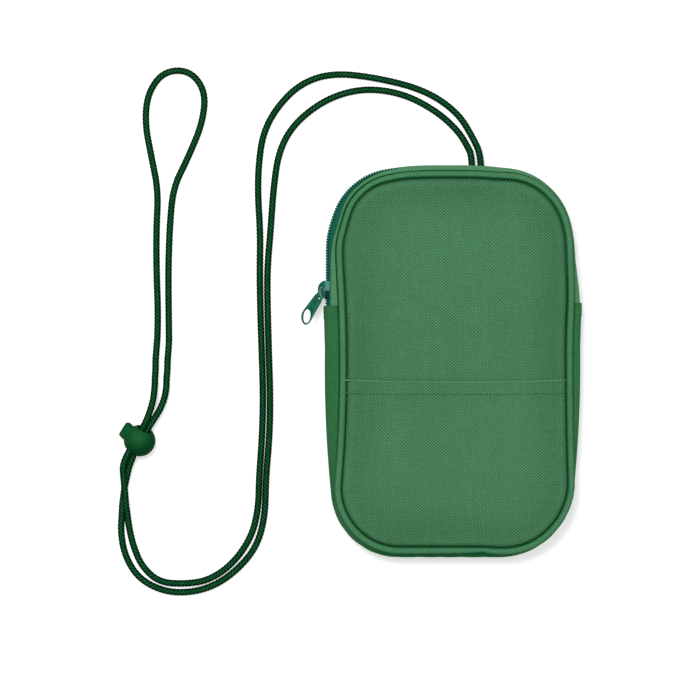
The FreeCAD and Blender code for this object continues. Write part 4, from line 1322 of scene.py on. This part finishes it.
# Places that the cord passes; those without a height lie on the table
OUTER_STRAND = [
    (14.1, 87.5, 6.15), (14.1, 99.4, 5.8), (10.7, 107.7, 2.2), (2.7, 121.2), (-13.8, 132.2), (-38.1, 138.2),
    (-58.4, 140.2), (-73.5, 135.3), (-84.9, 124.2), (-92.1, 111.1), (-94.3, 95.1), (-94.6, 80.5),
    (-93.4, 62.6), (-93.7, 43.2), (-93.4, 24.7), (-92.7, 4.4), (-92.0, -17.9), (-92.6, -38.3), (-94.0, -56.7),
    (-94.3, -71.3), (-97.5, -85.4), (-106.5, -98.5), (-118.1, -106.7), (-130.2, -108.6), (-142.8, -107.7),
    (-151.1, -99.9), (-155.2, -90.2), (-157.4, -80.5, 2.2), (-158.4, -70.8, 5.2)]
END_LOOP = [
    (-144.1, -0.5), (-143.1, 20.9), (-144.0, 45.1), (-144.0, 64.5), (-143.1, 82.9), (-146.5, 99.9),
    (-149.6, 115.9), (-148.2, 130.5), (-140.4, 141.1), (-127.8, 141.6), (-120.0, 131.4), (-121.5, 115.9),
    (-128.8, 98.5), (-135.8, 84.4), (-137.5, 66.0), (-138.2, 44.1), (-138.0, 22.3), (-137.7, 0.5)]
INNER_STRAND = [
    (-160.5, -71.8, 2.0), (-161.5, -83.4), (-159.1, -95.5), (-152.5, -106.0), (-140.4, -112.3),
    (-127.3, -112.8), (-114.7, -109.1), (-103.1, -100.4), (-94.6, -89.2), (-91.0, -74.7), (-90.7, -56.7),
    (-89.0, -38.3), (-88.5, -18.9), (-89.3, 5.3), (-89.9, 27.2), (-90.0, 45.1), (-88.3, 64.5), (-87.1, 82.9),
    (-84.6, 101.4), (-77.8, 114.5), (-65.2, 125.1), (-52.1, 130.9), (-38.1, 132.6), (-22.1, 129.5),
    (-7.0, 121.2), (2.9, 112.0), (7.3, 104.8, 2.2), (9.7, 99.4, 5.8), (9.7, 87.5, 6.15)]
# How far each strand is moved sideways near the ball, and at which heights
STRAND_Y = [-70.3, -66.4, -62.6, -58.7, -54.8, -50.9, -47.0, -42.5, -32.0, -28.6, -23.8, -18.9, -14.1, -9.2, -4.4,
            0.5, 5.3, 10.2]
OUTER_MOVES = [0, 0.5, 1.0, 1.45, 0.7, -0.35, -0.3, 0, 0, -0.2, -0.73, -1.2, -1.7, -1.45, -0.75, -0.6, -0.25, 0]
INNER_MOVES = [0, 0.5, 1.0, 1.45, 1.3, 0.85, 0.65, 0, 0, 0.3, 0.95, 0.95, 0.5, -0.2, -0.25, -0.5, -0.25, 0]


def cord_line():
    """The points of the cord's own smooth line, in millimetres."""
    upper = (STRAND_SHIFT + STRAND_STEP, STRAND_STEP)
    lower = (STRAND_SHIFT - STRAND_STEP, -STRAND_STEP)
    route = OUTER_STRAND + [lock_place(-17.0, *upper), lock_place(21.5, *upper)] + END_LOOP
    route += [lock_place(21.5, *lower), lock_place(-17.0, *lower)] + INNER_STRAND
    curve = bpy.data.curves.new("cord_line", "CURVE")
    curve.dimensions = "3D"
    spline = curve.splines.new("NURBS")
    spline.points.add(len(route) - 1)
    for point, place in zip(spline.points, route):
        point.co = (*metres((*place, CORD_RADIUS)[:3]), 1)
    spline.order_u = 3
    spline.use_endpoint_u = True
    curve.resolution_u = 24
    holder = placed("cord_line", curve)
    bpy.context.view_layer.update()
    mesh = bpy.data.meshes.new_from_object(holder)
    line = read(mesh.vertices, "co") / MM
    bpy.data.objects.remove(holder)
    bpy.data.meshes.remove(mesh)
    return line


def plait(run, angle):
    """Radius of the braided cord: plaits in four lanes that lean to and fro."""
    slant = np.abs((angle / math.pi + 0.25) % 1 - 0.5) * 2
    rib = np.abs(np.sin(math.pi * (run / PLAIT + slant * SLANT))) ** 0.6
    lane = np.abs(np.cos(2 * angle)) ** 0.5
    return CORD_RADIUS * (0.90 + 0.14 * rib + 0.08 * lane)


def parted(line):
    """The two strands part a little above and below the ball."""
    far = int(np.argmin(np.hypot(*(line[:, :2] - LOOP_TURN).T)))
    outer = np.interp(line[:, 1], STRAND_Y, OUTER_MOVES)
    inner = np.interp(line[:, 1], STRAND_Y, INNER_MOVES)
    moves = np.where(np.arange(len(line)) < far, outer, inner) * (line[:, 0] < -130)
    window = np.hanning(25)
    line[:, 0] += np.convolve(moves, window / window.sum(), "same")
    return line


def carry_cord():
    """The carry cord from the pouch's top edge round to its end loop and back, its path and its length."""
    line = even(parted(even(cord_line(), CORD_STEP)), CORD_STEP)
    piece = tube("cord_braid", line, 20, plait)
    dress(piece, CORD, "pouch", "cord", "carry_cord")
    path = [list(map(float, place * MM)) for place in even(line, 2.0)]
    return piece, path, float(lengths(line)[-1]) * MM


# The pouch is put together

panel_cloth(panel("front_cloth", FRONT_SEAM, front_height(0.0)), 0.8, "up", "front_panel")
pocket()
panel_cloth(panel("back_cloth", BACK_SEAM, back_height), 0.8, "down", "back_panel")
piping(1, FRONT_Z)
piping(-1, BACK_Z)
base_gusset()
for sign in (1, -1):
    zip_strip(sign)
    zip_tape(sign)
    zip_coil(sign)
slider_casting()
slider_bridge()
puller_blade()
puller_eye()
button = lock_button()
ball = lock_ball()
cord, cord_path, cord_length = carry_cord()
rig.cord(cord, exit=cord_path[0], length=cord_length, diameter=2 * CORD_RADIUS * MM, far_end="object", stiffness="limp",
        lay="loose", path=cord_path, with_pieces=[ball, button, frame["nodes"]["lock_spring"]])

NODE_FINISHES = {"front_seam_binding": BINDING, "back_seam_binding": BINDING, "cord_end_tacks": BINDING,
                 "zip_end_stops": METAL, "lock_spring": WIRE}
for node, finish in NODE_FINISHES.items():
    frame["nodes"][node].data.materials.clear()
    frame["nodes"][node].data.materials.append(finish)


# Camera, floor and light

PHOTO_PIXELS, PIXEL = 700, 0.485
PHOTO_MIDDLE = (-49.71, 5.335)
AIM = (-0.02, 0, 0)


def camera():
    """Straight above the pouch, at the photograph's scale."""
    data = bpy.data.cameras.new("camera")
    data.lens = 300
    data.sensor_width = 36
    data.clip_start, data.clip_end = 0.1, 10
    holder = placed("camera", data)
    holder.location = metres((*PHOTO_MIDDLE, ZIP_Z + PHOTO_PIXELS * PIXEL * data.lens / data.sensor_width))
    bpy.context.scene.camera = holder


def floor():
    """A white surface that stays white round the pouch and keeps its soft shadow."""
    surface = added(bpy.ops.mesh.primitive_plane_add, (0, 0, -0.1), size=6)
    surface.name = "floor"
    paint = Paint("floor_white", Base_Color=(0.8, 0.8, 0.8, 1), Roughness=0.9, Specular_IOR_Level=0.0)
    rays = paint.tree.nodes.new("ShaderNodeLightPath")
    seen, glossy = (Value(paint, rays.outputs[key]) for key in ("Is Camera Ray", "Is Glossy Ray"))
    strength = (seen + glossy).math("MINIMUM", 1.0) * 0.48
    glow = paint.add("ShaderNodeEmission", {}, {"Color": (255, 255, 255), "Strength": strength})
    both = paint.add("ShaderNodeAddShader", {}, (Value(paint, paint.shader.outputs[0]), glow))
    paint.tree.links.new(both.socket, paint.tree.nodes["Material Output"].inputs["Surface"])
    surface.data.materials.append(paint.material)
    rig.stage(surface)


def lamp(name, place, size, power):
    """A square soft box that looks at the pouch."""
    data = bpy.data.lights.new(name, "AREA")
    data.size = size
    data.energy = power
    holder = placed(name, data)
    holder.location = place
    holder.rotation_euler = (Vector(AIM) - Vector(place)).to_track_quat("-Z", "Y").to_euler()


def light():
    """A pale surround, a small key lamp at the upper left and a weak fill."""
    world = bpy.data.worlds.new("studio")
    world.use_nodes = True
    background = world.node_tree.nodes["Background"]
    background.inputs["Color"].default_value = (1, 1, 1, 1)
    background.inputs["Strength"].default_value = 0.38
    bpy.context.scene.world = world
    lamp("key", (-0.30, 0.45, 1.92), 0.55, 25.3)
    lamp("fill", (0.5, -0.2, 1.9), 1.2, 3.5)


camera()
floor()
light()
bpy.context.scene.view_settings.view_transform = "Standard"

json.dump({"cad": [list(map(float, c)) for c in CAD_BOX], "visual": [list(map(float, c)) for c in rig.bounds()]},
          open("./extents.json", "w"))
